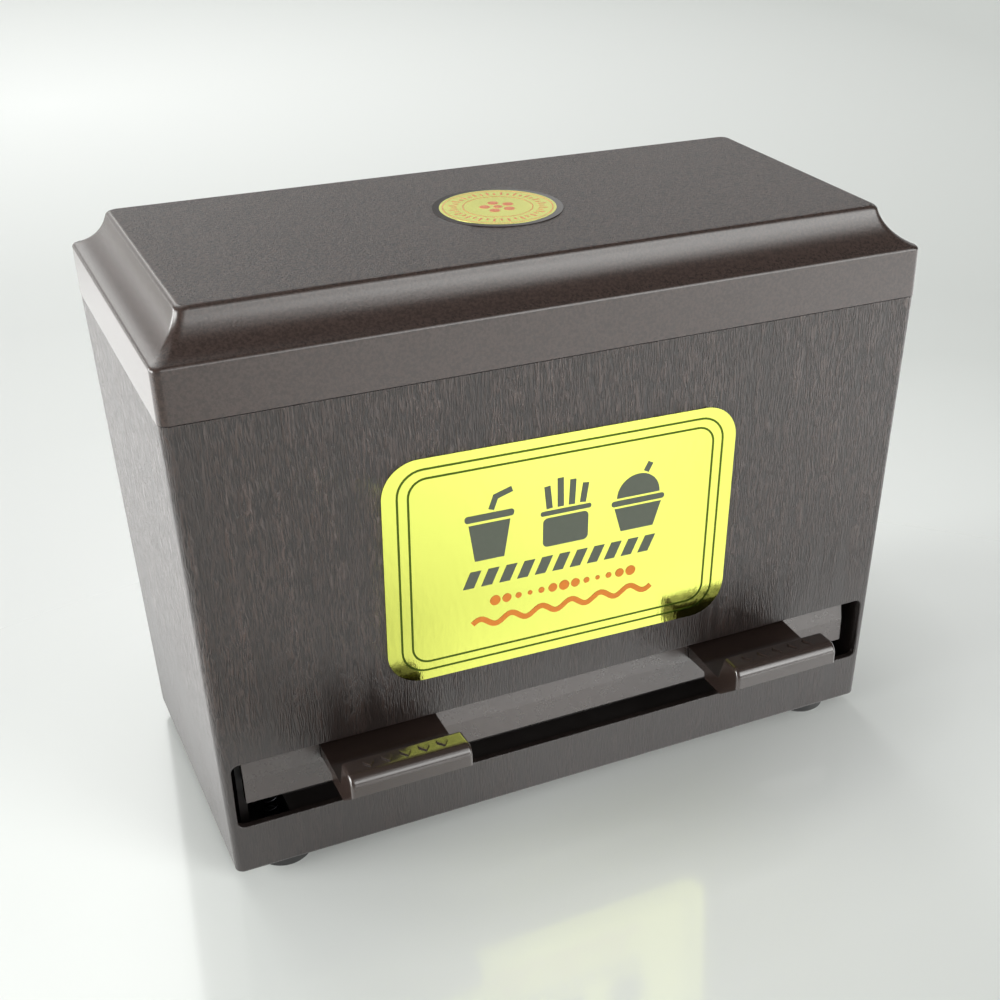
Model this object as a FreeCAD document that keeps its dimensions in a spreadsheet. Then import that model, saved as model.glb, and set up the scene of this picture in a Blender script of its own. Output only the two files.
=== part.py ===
import FreeCAD, Part
import os
import re
import Sketcher

# A counter-top straw dispenser: a tapered bin with a loose lid, and a rocker behind the outlet slot
# that carries a closing bar, two finger levers and a feed sector on two short end axles.
#
# Row frame: +X to the right, -Y towards the user, +Z up, origin on the counter under the middle of
# the object's box. Every piece is drawn about the bin's own centre line (y = 0) with z = 0 at the
# underside of the bin, and its Placement carries it into the row frame.

SIZES = {
    # outside of the bin and the lid
    "lid_width": 270.0,
    "lid_depth": 130.7,
    "corner_radius": 3.0,
    "wall": 2.5,
    "bin_height": 174.4,
    "bin_step": 0.2,
    "bin_taper": 4.0,
    "floor_thickness": 3.0,
    "floor_edge_radius": 1.2,
    # lid: upright rim, hollow moulding (cove) and raised flat top
    "rim_height": 18.4,
    "parting_gap": 0.35,
    "parting_depth": 1.0,
    "rim_edge_radius": 1.6,
    "cove_radius": 17.1,
    "cove_centre_out": 5.35,
    "cove_centre_up": 15.9,
    "cove_start_angle": 21.8,
    "cove_end_angle": 77.8,
    "cove_inner_start_angle": 25.0,
    "cove_inner_end_angle": 72.0,
    "cove_steps": 8,
    "top_edge_radius": 1.0,
    "edge_steps": 4,
    "lip_drop": 8.0,
    "lip_rise": 4.0,
    "lip_wall": 1.6,
    "lip_gap": 0.6,
    "lip_corner_radius": 1.5,
    "badge_radius": 22.8,
    "badge_thickness": 0.3,
    "badge_forward": 1.0,
    # gold label on the front wall, a little off centre and off level
    "label_width": 132.3,
    "label_height": 85.5,
    "label_radius": 13.0,
    "label_thickness": 0.25,
    "label_shift": -4.0,
    "label_middle": 104.7,
    "label_tilt": 1.1,
    # outlet slot in the front wall
    "slot_half_width": 128.2,
    "slot_bottom": 20.0,
    "slot_top": 46.9,
    "slot_radius": 2.9,
    "slot_edge_radius": 0.5,
    # feet
    "foot_radius": 9.9,
    "foot_height": 5.0,
    "foot_x": 111.0,
    "foot_y": 49.0,
    "foot_bevel": 1.0,
    "foot_recess_radius": 4.2,
    "foot_recess_depth": 2.8,
    # screws
    "shank_radius": 1.5,
    "clear_radius": 1.7,
    "head_radius": 3.0,
    "head_height": 1.8,
    "flat_head_height": 1.4,
    "drive_length": 3.4,
    "drive_width": 0.8,
    "drive_depth": 0.9,
    "screw_overrun": 1.0,
    "screw_end_gap": 0.2,
    "sector_screw_reach": 9.0,
    # rocker axis and its end arms
    "pivot_y": -34.0,
    "pivot_z": 38.0,
    "arm_inner": 116.5,
    "arm_thickness": 3.0,
    "arm_radius": 21.0,
    "arm_tail_low": -3.0,
    "arm_tail_end": -11.0,
    "arm_belly_rear": -5.0,
    "arm_belly": -8.0,
    "frame_inner": 121.5,
    "frame_thickness": 3.0,
    "pin_radius": 2.5,
    "pin_inner_end": 114.2,
    "pin_head_radius": 4.0,
    "pin_head_height": 1.4,
    "pin_chamfer": 0.5,
    "bush_radius": 4.2,
    "bush_flange_radius": 6.0,
    "bush_flange": 1.6,
    "bush_clearance": 0.05,
    "clip_outer": 116.2,
    "clip_thickness": 0.8,
    "clip_radius": 4.6,
    "clip_mouth": 1.6,
    "groove_radius": 2.0,
    "groove_play": 0.05,
    # bar: distances forward of (+) and above the rocker axis
    "bar_half_length": 123.5,
    "bar_front": 22.7,
    "bar_thickness": 3.0,
    "bar_low": -11.7,
    "bar_ridge": -2.0,
    "bar_back_ridge": -0.8,
    "bar_top": 7.2,
    "bar_lean": 1.5,
    "bar_edge_radius": 1.4,
    # finger levers
    "lever_x": 73.85,
    "lever_width": 43.3,
    "lever_fit": 0.15,
    "lever_reach": 27.4,
    "lever_root_top": 42.2,
    "lever_root_low": 37.2,
    "lever_flange_low": 28.0,
    "lever_flange": 2.5,
    "lever_underside_rise": 0.8,
    "lever_arm_fall": 0.5,
    "lever_heel_fall": 0.8,
    "lever_screw_x": 14.0,
    "lever_screw_z": 32.6,
    "lever_screw_depth": 2.2,
    "pad_top": 52.3,
    "pad_back": -81.9,
    "pad_fall": 0.4,
    "pad_draft": 0.1,
    "pad_heel": -78.0,
    "pad_front_radius": 4.0,
    "pad_back_radius": 1.6,
    "pad_side_radius": 1.4,
    "skirt_back": -69.2,
    "skirt_knee": -81.0,
    "skirt_low": 35.2,
    "skirt_lean": 0.4,
    "chin": 44.3,
    "lever_wall": 2.2,
    "hollow_bevel": 1.2,
    "cut_margin": 1.0,
    # feed sector
    "sector_radius": 22.0,
    "sector_bore": 16.5,
    "sector_rear": 14.1,
    "sector_nose": 6.5,
    "sector_cut": 11.0,
    "step_back": 2.9,
    "step_lean": 0.3,
    "shelf_low": 18.3,
    "shelf_rise": 1.3,
    "boss_radius": 3.1,
    "boss_rear_y": 9.5,
    "boss_rear_z": 14.0,
    "boss_front_y": 2.6,
    "boss_front_z": 15.0,
    # hopper ramp and baffle
    "hopper_half_length": 121.2,
    "ramp_front_y": -29.6,
    "ramp_front_z": 62.3,
    "ramp_rear_y": 60.5,
    "ramp_slope": 0.466,
    "ramp_thickness": 2.8,
    "ramp_nose": 4.0,
    "ramp_nose_thickness": 2.0,
    "ramp_web_y": -8.0,
    "ramp_foot_y": 8.0,
    "sheet": 2.5,
    "ledge_half_length": 100.0,
    "ledge_y": 57.0,
    "ledge_top": 99.5,
    "ledge_height": 3.5,
    "baffle_low_y": -38.3,
    "baffle_low_z": 63.6,
    "baffle_wall_y": -58.2,
    "baffle_wall_z": 97.0,
    "baffle_top": 108.0,
    "baffle_edge_radius": 0.6,
    "gusset_thickness": 4.0,
    "gusset_wall_y": -60.1,
    "gusset_wall_z": 78.0,
    "gusset_low_y": -52.0,
    "gusset_low_z": 67.6,
    "gusset_toe_y": -44.4,
    "gusset_toe_z": 62.8,
    # tray behind the slot
    "tray_half_length": 109.0,
    "tray_front_y": -58.4,
    "tray_level": 19.2,
    "tray_bend_y": -48.5,
    "tray_knee_y": -33.0,
    "tray_knee_z": 30.0,
    "tray_back_y": -27.5,
    "tray_back_z": 44.0,
    "tray_sheet": 2.0,
    "tray_leg_top_z": 33.0,
    "tray_foot_y": -14.0,
    # side frames
    "frame_front_y": -47.0,
    "frame_throat_z": 58.0,
    "frame_wall_y": -59.8,
    "frame_wall_z": 75.0,
    "frame_top": 112.0,
    "frame_rear_y": 58.0,
    "frame_rear_z": 95.0,
    "frame_heel_y": 20.0,
    "frame_heel_z": 60.0,
    "frame_foot_inner": 109.8,
    "frame_wing_outer": 130.5,
    # return springs and rest stops
    "spring_x": 113.0,
    "spring_forward": 12.0,
    "spring_top": 36.0,
    "coil_radius": 2.4,
    "wire_radius": 0.4,
    "coil_pitch": 3.3,
    "seat_half_depth": 3.4,
    "seat_thickness": 2.0,
    "seat_margin": 0.8,
    "bumper_back": 17.0,
    "bumper_x": 118.0,
    "bumper_radius": 3.0,
    "bumper_bottom": 30.2,
    "bumper_height": 4.5,
    "bumper_edge_radius": 0.8,
    "stop_tab_inner": 114.0,
    "stop_tab_half_depth": 4.0,
    # screw places in the floor
    "frame_screw_x": 115.6,
    "frame_screw_front_y": -32.0,
    "frame_screw_rear_y": 10.0,
    "tray_screw_x": 60.0,
    "tray_screw_y": -20.0,
    "ramp_screw_x": 80.0,
    "ramp_screw_y": 2.0,
    # screw places in the baffle's end plates
    "baffle_screw_low_y": -49.0,
    "baffle_screw_low_z": 75.5,
    "baffle_screw_high_y": -56.0,
    "baffle_screw_high_z": 86.5,
}

# Lengths worked out from the cells above, as formulas of their names
DERIVED = {
    "centre_y": "(lever_reach / 2)",
    "bin_top_x": "(lid_width / 2 - bin_step)",
    "bin_top_y": "(lid_depth / 2 - bin_step)",
    "bin_low_x": "(bin_top_x - bin_taper)",
    "bin_low_y": "(bin_top_y - bin_taper)",
    "wall_slope": "(bin_taper / bin_height)",
    "lip_x": "(bin_top_x - wall - lip_gap)",
    "lip_y": "(bin_top_y - wall - lip_gap)",
    "rim_top": "(bin_height + rim_height)",
    "cove_level": "(rim_top + cove_centre_up)",
    "rim_edge_in": "(rim_edge_radius * sin(cove_start_angle) + cove_in_start)",
    "rim_edge_level": "(cove_level - (cove_radius + rim_edge_radius) * cos(cove_start_angle))",
    "cove_in_start": "(cove_radius * sin(cove_start_angle) - cove_centre_out)",
    "cove_in_end": "(cove_radius * sin(cove_end_angle) - cove_centre_out)",
    "top_edge_in": "(cove_in_end + top_edge_radius * sin(cove_end_angle))",
    "top_edge_level": "(cove_level - (cove_radius + top_edge_radius) * cos(cove_end_angle))",
    "lid_top": "(top_edge_level + top_edge_radius)",
    "lever_tip": "(-lid_depth / 2 - lever_reach)",
    "arm_outer": "(arm_inner + arm_thickness)",
    "frame_outer": "(frame_inner + frame_thickness)",
    "frame_foot_top": "(floor_thickness + frame_thickness)",
    "bar_back": "(bar_front - bar_thickness)",
    "bar_back_y": "(pivot_y - bar_back)",
    "lever_inner_x": "(lever_x - lever_width / 2)",
    "lever_outer_x": "(lever_x + lever_width / 2)",
    "foot_sheet_top": "(floor_thickness + sheet)",
    "spring_length": "(spring_top - frame_foot_top)",
    "baffle_lean": "atan((baffle_low_y - baffle_wall_y) / (baffle_wall_z - baffle_low_z))",
    "tray_lean": "atan((tray_knee_z - tray_level) / (tray_knee_y - tray_bend_y))",
}

doc = FreeCAD.newDocument("straw_dispenser")
sheet = doc.addObject("Spreadsheet::Sheet", "Sizes")
for row, (alias, size) in enumerate(SIZES.items(), start=1):
    sheet.set(f"A{row}", alias)
    sheet.set(f"B{row}", str(size))
    sheet.setAlias(f"B{row}", alias)
doc.recompute()

SIDES = {"left": -1, "right": 1}
PARTS = []


def formula(text):
    """Turn a formula of size names into one that the document's cells answer."""
    text = str(text)
    while any(word in DERIVED for word in re.findall(r"[a-z_]+", text)):
        text = re.sub(r"[a-z_]+", lambda word: DERIVED.get(word[0], word[0]), text)
    return re.sub(r"[a-z_]+", lambda word: "Sizes." + word[0] if word[0] in SIZES else word[0], text)


def value(text):
    return float(sheet.evalExpression(formula(text)))


def bind(item, name, text):
    item.setExpression(name, formula(text))


# ---------------------------------------------------------------- drawing helpers


def new_part(label, x="0", y="0", z="0", several=False):
    """A body of its own, placed relative to the bin's centre line and underside."""
    body = doc.addObject("PartDesign::Body", label)
    body.Label = label
    body.AllowCompound = several
    bind(body, "Placement.Base.x", x)
    bind(body, "Placement.Base.y", f"centre_y + {y}")
    bind(body, "Placement.Base.z", f"foot_height + {z}")
    PARTS.append(body)
    return body


def new_sketch(body, role, offset="0"):
    """A sketch on one of the body's origin planes, moved along that plane's normal.

    The normals are +Z for XY_Plane, -Y for XZ_Plane and +X for YZ_Plane.
    """
    sketch = body.newObject("Sketcher::SketchObject", "sketch")
    plane = next(item for item in body.Origin.OriginFeatures if item.Role == role)
    sketch.AttachmentSupport = [(plane, "")]
    sketch.MapMode = "FlatFace"
    bind(sketch, "AttachmentOffset.Base.z", offset)
    return sketch


def fix(sketch, kind, text, *where):
    """Add a dimension whose value the sheet drives."""
    index = sketch.addConstraint(Sketcher.Constraint(kind, *where, value(text)))
    bind(sketch, f"Constraints[{index}]", text)


def fix_point(sketch, item, end, across, up):
    fix(sketch, "DistanceX", across, -1, 1, item, end)
    fix(sketch, "DistanceY", up, -1, 1, item, end)


def draw_outline(sketch, corners):
    """A closed outline of straight edges through the corners."""
    first = sketch.GeometryCount
    count = len(corners)
    points = [FreeCAD.Vector(value(across), value(up), 0) for across, up in corners]
    for index, point in enumerate(points):
        sketch.addGeometry(Part.LineSegment(point, points[(index + 1) % count]))
    for index in range(count):
        after = first + (index + 1) % count
        sketch.addConstraint(Sketcher.Constraint("Coincident", first + index, 2, after, 1))
    for index, (across, up) in enumerate(corners):
        fix_point(sketch, first + index, 1, across, up)


def draw_box(sketch, left, right, low, high):
    draw_outline(sketch, [(left, low), (right, low), (right, high), (left, high)])


def draw_circle(sketch, across, up, radius):
    centre = FreeCAD.Vector(value(across), value(up), 0)
    item = sketch.addGeometry(Part.Circle(centre, FreeCAD.Vector(0, 0, 1), value(radius)))
    fix(sketch, "Radius", radius, item)
    fix_point(sketch, item, 3, across, up)


def draw_round_box(sketch, left, right, low, high, radius):
    """A rectangle whose four corners are arcs of one radius."""
    x0, x1, y0, y1 = (value(text) for text in (left, right, low, high))
    r = value(radius)
    lines = [
        ((x0 + r, y0), (x1 - r, y0)),
        ((x1, y0 + r), (x1, y1 - r)),
        ((x1 - r, y1), (x0 + r, y1)),
        ((x0, y1 - r), (x0, y0 + r)),
    ]
    centres = [(x1 - r, y0 + r), (x1 - r, y1 - r), (x0 + r, y1 - r), (x0 + r, y0 + r)]
    quarter = value("pi / 2")
    for turn, (line, centre) in enumerate(zip(lines, centres)):
        start, end = (FreeCAD.Vector(*point, 0) for point in line)
        sketch.addGeometry(Part.LineSegment(start, end))
        circle = Part.Circle(FreeCAD.Vector(*centre, 0), FreeCAD.Vector(0, 0, 1), r)
        sketch.addGeometry(Part.ArcOfCircle(circle, (turn - 1) * quarter, turn * quarter))
    for side in range(0, 8, 2):
        sketch.addConstraint(Sketcher.Constraint("Tangent", side, 2, side + 1, 1))
        sketch.addConstraint(Sketcher.Constraint("Tangent", side + 1, 2, (side + 2) % 8, 1))
        level = "Horizontal" if side in (0, 4) else "Vertical"
        sketch.addConstraint(Sketcher.Constraint(level, side))
    for arc in (3, 5, 7):
        sketch.addConstraint(Sketcher.Constraint("Equal", 1, arc))
    fix(sketch, "Radius", radius, 1)
    fix(sketch, "DistanceY", low, -1, 1, 0, 1)
    fix(sketch, "DistanceX", right, -1, 1, 2, 1)
    fix(sketch, "DistanceY", high, -1, 1, 4, 1)
    fix(sketch, "DistanceX", left, -1, 1, 6, 1)


def draw_centred_box(sketch, half_x, half_y, radius):
    draw_round_box(sketch, f"-{half_x}", half_x, f"-{half_y}", half_y, radius)


# ---------------------------------------------------------------- feature helpers


def finish(body, feature, grows):
    """Recompute, and stop if the feature didn't add or remove material as meant."""
    previous = feature.BaseFeature
    before = previous.Shape.Volume if previous else 0.0
    doc.recompute()
    change = feature.Shape.Volume - before
    if (change > 0) != grows or "Invalid" in feature.State:
        raise RuntimeError(f"{body.Label}: {feature.Name} changes the volume by {change:.2f}")
    return feature


def pad(body, sketch, length, both_ways=False):
    feature = body.newObject("PartDesign::Pad", "pad")
    feature.Profile = sketch
    feature.Midplane = both_ways
    bind(feature, "Length", length)
    return finish(body, feature, grows=True)


def pocket(body, sketch, length, both_ways=False, forward=False):
    """Cut against the sketch's normal, or along it when forward."""
    feature = body.newObject("PartDesign::Pocket", "pocket")
    feature.Profile = sketch
    feature.Midplane = both_ways
    feature.Reversed = forward
    bind(feature, "Length", length)
    return finish(body, feature, grows=False)


def turn(body, sketch, axis):
    """Revolve a sketch about its own horizontal (H_Axis) or vertical (V_Axis) axis."""
    feature = body.newObject("PartDesign::Revolution", "turn")
    feature.Profile = sketch
    feature.ReferenceAxis = (sketch, [axis])
    feature.Angle = 360
    return finish(body, feature, grows=True)


def loft(body, kind, sketches):
    feature = body.newObject("PartDesign::" + kind, "loft")
    feature.Profile = sketches[0]
    feature.Sections = sketches[1:]
    return finish(body, feature, grows=kind == "AdditiveLoft")


def mirror(body, feature):
    """Repeat a feature on the other side of the centre plane x = 0."""
    copy = body.newObject("PartDesign::Mirrored", "mirror")
    copy.Originals = [feature]
    plane = next(item for item in body.Origin.OriginFeatures if item.Role == "YZ_Plane")
    copy.MirrorPlane = (plane, [""])
    body.Tip = copy
    doc.recompute()
    return copy


def round_edges(body, radius, chosen):
    """Round the edges of the tip for which chosen(edge) holds."""
    base = body.Tip
    names = [f"Edge{number}" for number, edge in enumerate(base.Shape.Edges, 1) if chosen(edge)]
    if not names:
        raise RuntimeError(f"{body.Label}: no edge to round")
    feature = body.newObject("PartDesign::Fillet", "fillet")
    feature.Base = (base, names)
    bind(feature, "Radius", radius)
    doc.recompute()
    if not feature.Shape.isValid():
        raise RuntimeError(f"{body.Label}: rounding failed")
    return feature


def lies_at(edge, **place):
    """True when the whole edge lies at the given x, y or z (a number each)."""
    box = edge.BoundBox
    spans = {"x": (box.XMin, box.XMax), "y": (box.YMin, box.YMax), "z": (box.ZMin, box.ZMax)}
    return all(abs(end - at) < 0.05 for axis, at in place.items() for end in spans[axis])


def across_at(edge, y, z):
    """True for an edge that runs along X at the given place in a cross-section."""
    return edge.BoundBox.XLength > 1 and lies_at(edge, y=value(y), z=value(z))


def plate(body, corners, low_x, high_x):
    """Pad a cross-section, drawn as (y, z), from low_x to high_x."""
    sketch = new_sketch(body, "YZ_Plane", low_x)
    draw_outline(sketch, corners)
    return pad(body, sketch, f"({high_x}) - ({low_x})")


def disc(body, radius, low_x, high_x):
    """A disc about the rocker axis from low_x to high_x."""
    sketch = new_sketch(body, "YZ_Plane", low_x)
    draw_circle(sketch, "pivot_y", "pivot_z", radius)
    return pad(body, sketch, f"({high_x}) - ({low_x})")


def span(side, near, far):
    """The x range between two distances from the centre plane, on one side of it."""
    if side > 0:
        return near, far
    return f"-({far})", f"-({near})"


def ahead(forward, up):
    """A place in a cross-section, measured forward of and above the rocker axis."""
    return f"pivot_y - ({forward})", f"pivot_z + ({up})"


def drill(body, role, offset, places, radius, length, both_ways=False, forward=False):
    sketch = new_sketch(body, role, offset)
    for across, up in places:
        draw_circle(sketch, across, up, radius)
    return pocket(body, sketch, length, both_ways, forward)


def add_screws(body, role, seat, places, head, reach, inward):
    """Pan heads standing on a plane at seat, with shanks that reach the other way.

    inward is +1 when the shanks point along the plane's normal and -1 when against it.
    """
    head_base = seat if inward < 0 else f"({seat}) - {head}"
    shank_base = seat if inward > 0 else f"({seat}) - ({reach})"
    heads = new_sketch(body, role, head_base)
    shanks = new_sketch(body, role, shank_base)
    for across, up in places:
        draw_circle(heads, across, up, "head_radius")
        draw_circle(shanks, across, up, "shank_radius")
    pad(body, heads, head)
    pad(body, shanks, reach)
    outside = f"({seat}) - {head}" if inward > 0 else f"({seat}) + {head}"
    for long_side, short_side in (("drive_length", "drive_width"), ("drive_width", "drive_length")):
        drive = new_sketch(body, role, outside)
        for across, up in places:
            draw_box(
                drive,
                f"{across} - {long_side} / 2",
                f"{across} + {long_side} / 2",
                f"{up} - {short_side} / 2",
                f"{up} + {short_side} / 2",
            )
        pocket(body, drive, "drive_depth", forward=inward > 0)


# ---------------------------------------------------------------- bin and lid


def make_body_shell():
    """Tapered bin: four drafted walls, a floor, the outlet slot and a ledge for the ramp."""
    body = new_part("body_shell")
    outside = new_sketch(body, "XY_Plane")
    draw_box(outside, "-bin_low_x", "bin_low_x", "-bin_low_y", "bin_low_y")
    block = pad(body, outside, "bin_height")
    bind(block, "TaperAngle", "atan(wall_slope)")
    doc.recompute()
    upright = value("bin_height / 2")
    round_edges(body, "corner_radius", lambda edge: edge.BoundBox.ZLength > upright)
    round_edges(body, "floor_edge_radius", lambda edge: lies_at(edge, z=0))

    lean = "wall_slope * floor_thickness"
    inner_low = new_sketch(body, "XY_Plane", "floor_thickness")
    low_x = f"(bin_low_x - wall + {lean})"
    low_y = f"(bin_low_y - wall + {lean})"
    draw_box(inner_low, f"-{low_x}", low_x, f"-{low_y}", low_y)
    inner_high = new_sketch(body, "XY_Plane", "bin_height")
    high_x = "(bin_top_x - wall)"
    high_y = "(bin_top_y - wall)"
    draw_box(inner_high, f"-{high_x}", high_x, f"-{high_y}", high_y)
    loft(body, "SubtractiveLoft", [inner_low, inner_high])

    slot = new_sketch(body, "XZ_Plane", "bin_top_y + wall")
    draw_round_box(
        slot, "-slot_half_width", "slot_half_width", "slot_bottom", "slot_top", "slot_radius"
    )
    pocket(body, slot, "bin_taper + 4 * wall")
    round_edges(body, "slot_edge_radius", on_slot_face)

    ledge_wall = "bin_low_y + wall_slope * ledge_top - wall / 2"
    ledge = new_sketch(body, "YZ_Plane")
    draw_box(ledge, "ledge_y", ledge_wall, "ledge_top - ledge_height", "ledge_top")
    pad(body, ledge, "2 * ledge_half_length", both_ways=True)

    feet = [(f"{i} * foot_x", f"{j} * foot_y") for i in (-1, 1) for j in (-1, 1)]
    drill(body, "XY_Plane", "floor_thickness", feet, "shank_radius", "floor_thickness")
    drill(body, "XY_Plane", "floor_thickness", floor_screws(), "clear_radius", "floor_thickness")


def on_slot_face(edge):
    """True for the slot's edges on the outer face of the front wall."""
    box = edge.BoundBox
    margin = value("cut_margin")
    inside = abs(box.Center.x) < value("slot_half_width") + margin
    low, high = value("slot_bottom") - margin, value("slot_top") + margin
    level = low < box.ZMin and box.ZMax < high
    middle = (box.ZMin + box.ZMax) / 2
    face = -value("bin_low_y") - value("wall_slope") * middle
    return inside and level and abs((box.YMin + box.YMax) / 2 - face) < value("wall") / 4


def floor_screws():
    """Places of the screws that come up through the floor."""
    places = []
    for side in SIDES.values():
        places.append((f"{side} * frame_screw_x", "frame_screw_front_y"))
        places.append((f"{side} * frame_screw_x", "frame_screw_rear_y"))
        places.append((f"{side} * tray_screw_x", "tray_screw_y"))
        places.append((f"{side} * ramp_screw_x", "ramp_screw_y"))
    return places


def arc_loft(body, kind, centre_in, centre_up, radius, start, end, steps):
    """Loft the lid's outline along an arc of its cross-section.

    The arc's centre lies centre_in inside the rim and centre_up high; angles are counted from
    straight down, and grow towards the middle of the lid.
    """
    sketches = []
    count = int(value(steps))
    for step in range(count + 1):
        angle = f"({start} + ({end} - ({start})) * {step} / {steps})"
        inset = f"({centre_in} + {radius} * sin({angle}))"
        sketch = new_sketch(body, "XY_Plane", f"{centre_up} - {radius} * cos({angle})")
        half_x = f"(lid_width / 2 - {inset})"
        half_y = f"(lid_depth / 2 - {inset})"
        draw_centred_box(sketch, half_x, half_y, "corner_radius")
        sketches.append(sketch)
    return loft(body, kind, sketches)


def make_lid():
    """Loose lid: rim, cove and raised top, hollow inside, with a lip that drops into the bin.

    The rim stands on a slightly smaller foot, which leaves a thin open line above the bin.
    """
    body = new_part("lid")
    foot = new_sketch(body, "XY_Plane", "bin_height")
    foot_x = "(lid_width / 2 - parting_depth)"
    foot_y = "(lid_depth / 2 - parting_depth)"
    draw_centred_box(foot, foot_x, foot_y, "corner_radius")
    pad(body, foot, "parting_gap")
    rim = new_sketch(body, "XY_Plane", "bin_height + parting_gap")
    draw_centred_box(rim, "(lid_width / 2)", "(lid_depth / 2)", "corner_radius")
    pad(body, rim, "rim_edge_level - bin_height - parting_gap")
    arc_loft(
        body,
        "AdditiveLoft",
        "rim_edge_in",
        "rim_edge_level",
        "rim_edge_radius",
        "-90",
        "cove_start_angle - 180",
        "edge_steps",
    )
    arc_loft(
        body,
        "AdditiveLoft",
        "-cove_centre_out",
        "cove_level",
        "cove_radius",
        "cove_start_angle",
        "cove_end_angle",
        "cove_steps",
    )
    arc_loft(
        body,
        "AdditiveLoft",
        "top_edge_in",
        "top_edge_level",
        "top_edge_radius",
        "cove_end_angle - 180",
        "-180",
        "edge_steps",
    )

    lip = new_sketch(body, "XY_Plane", "bin_height - lip_drop")
    draw_centred_box(lip, "lip_x", "lip_y", "lip_corner_radius")
    pad(body, lip, "lip_drop")
    inside = new_sketch(body, "XY_Plane", "bin_height + lip_rise")
    draw_centred_box(inside, "(lip_x - lip_wall)", "(lip_y - lip_wall)", "lip_corner_radius")
    pocket(body, inside, "lip_drop + lip_rise")

    inner_radius = "(cove_radius + wall)"
    attic_level = f"(cove_level - {inner_radius} * cos(cove_inner_start_angle))"
    attic_in = f"({inner_radius} * sin(cove_inner_start_angle) - cove_centre_out)"
    attic = new_sketch(body, "XY_Plane", "bin_height + lip_rise")
    half_x = f"(lid_width / 2 - {attic_in})"
    half_y = f"(lid_depth / 2 - {attic_in})"
    draw_centred_box(attic, half_x, half_y, "corner_radius")
    pocket(body, attic, f"{attic_level} - bin_height - lip_rise", forward=True)
    arc_loft(
        body,
        "SubtractiveLoft",
        "-cove_centre_out",
        "cove_level",
        inner_radius,
        "cove_inner_start_angle",
        "cove_inner_end_angle",
        "cove_steps",
    )


def make_lid_badge():
    body = new_part("lid_badge", "0", "-badge_forward", "lid_top")
    sketch = new_sketch(body, "XY_Plane")
    draw_circle(sketch, "0", "0", "badge_radius")
    pad(body, sketch, "badge_thickness")


def make_front_label():
    """Thin label that lies on the leaning front wall."""
    body = new_part(
        "front_label",
        "label_shift",
        "(-bin_low_y - label_middle * sin(atan(wall_slope)))",
        "label_middle * cos(atan(wall_slope))",
    )
    lean = FreeCAD.Rotation(FreeCAD.Vector(1, 0, 0), value("atan(wall_slope)"))
    tilt = FreeCAD.Rotation(FreeCAD.Vector(0, 1, 0), value("label_tilt"))
    body.Placement.Rotation = lean.multiply(tilt)
    sketch = new_sketch(body, "XZ_Plane")
    draw_centred_box(sketch, "(label_width / 2)", "(label_height / 2)", "label_radius")
    pad(body, sketch, "label_thickness")


# ---------------------------------------------------------------- feet and floor screws


def make_feet():
    """Rubber feet: bevelled discs with a recess for a screw head."""
    for end, along in (("front", -1), ("rear", 1)):
        for name, side in SIDES.items():
            body = new_part(f"foot_{end}_{name}", f"{side} * foot_x", f"{along} * foot_y")
            sketch = new_sketch(body, "XZ_Plane")
            recess = "foot_recess_depth - foot_height"
            corners = [
                ("clear_radius", "0"),
                ("clear_radius", recess),
                ("foot_recess_radius", recess),
                ("foot_recess_radius", "-foot_height"),
                ("foot_radius - foot_bevel", "-foot_height"),
                ("foot_radius", "foot_bevel - foot_height"),
                ("foot_radius", "0"),
            ]
            draw_outline(sketch, corners)
            turn(body, sketch, "V_Axis")


def make_foot_screws():
    body = new_part("foot_screws", several=True)
    places = [(f"{i} * foot_x", f"{j} * foot_y") for i in (-1, 1) for j in (-1, 1)]
    seat = "foot_recess_depth - foot_height"
    reach = "foot_height - foot_recess_depth + floor_thickness + screw_overrun"
    add_screws(body, "XY_Plane", seat, places, "head_height", reach, inward=1)


def make_base_screws():
    body = new_part("base_screws", several=True)
    reach = "(floor_thickness + sheet)"
    add_screws(body, "XY_Plane", "0", floor_screws(), "head_height", reach, inward=1)


# ---------------------------------------------------------------- side frames


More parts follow.
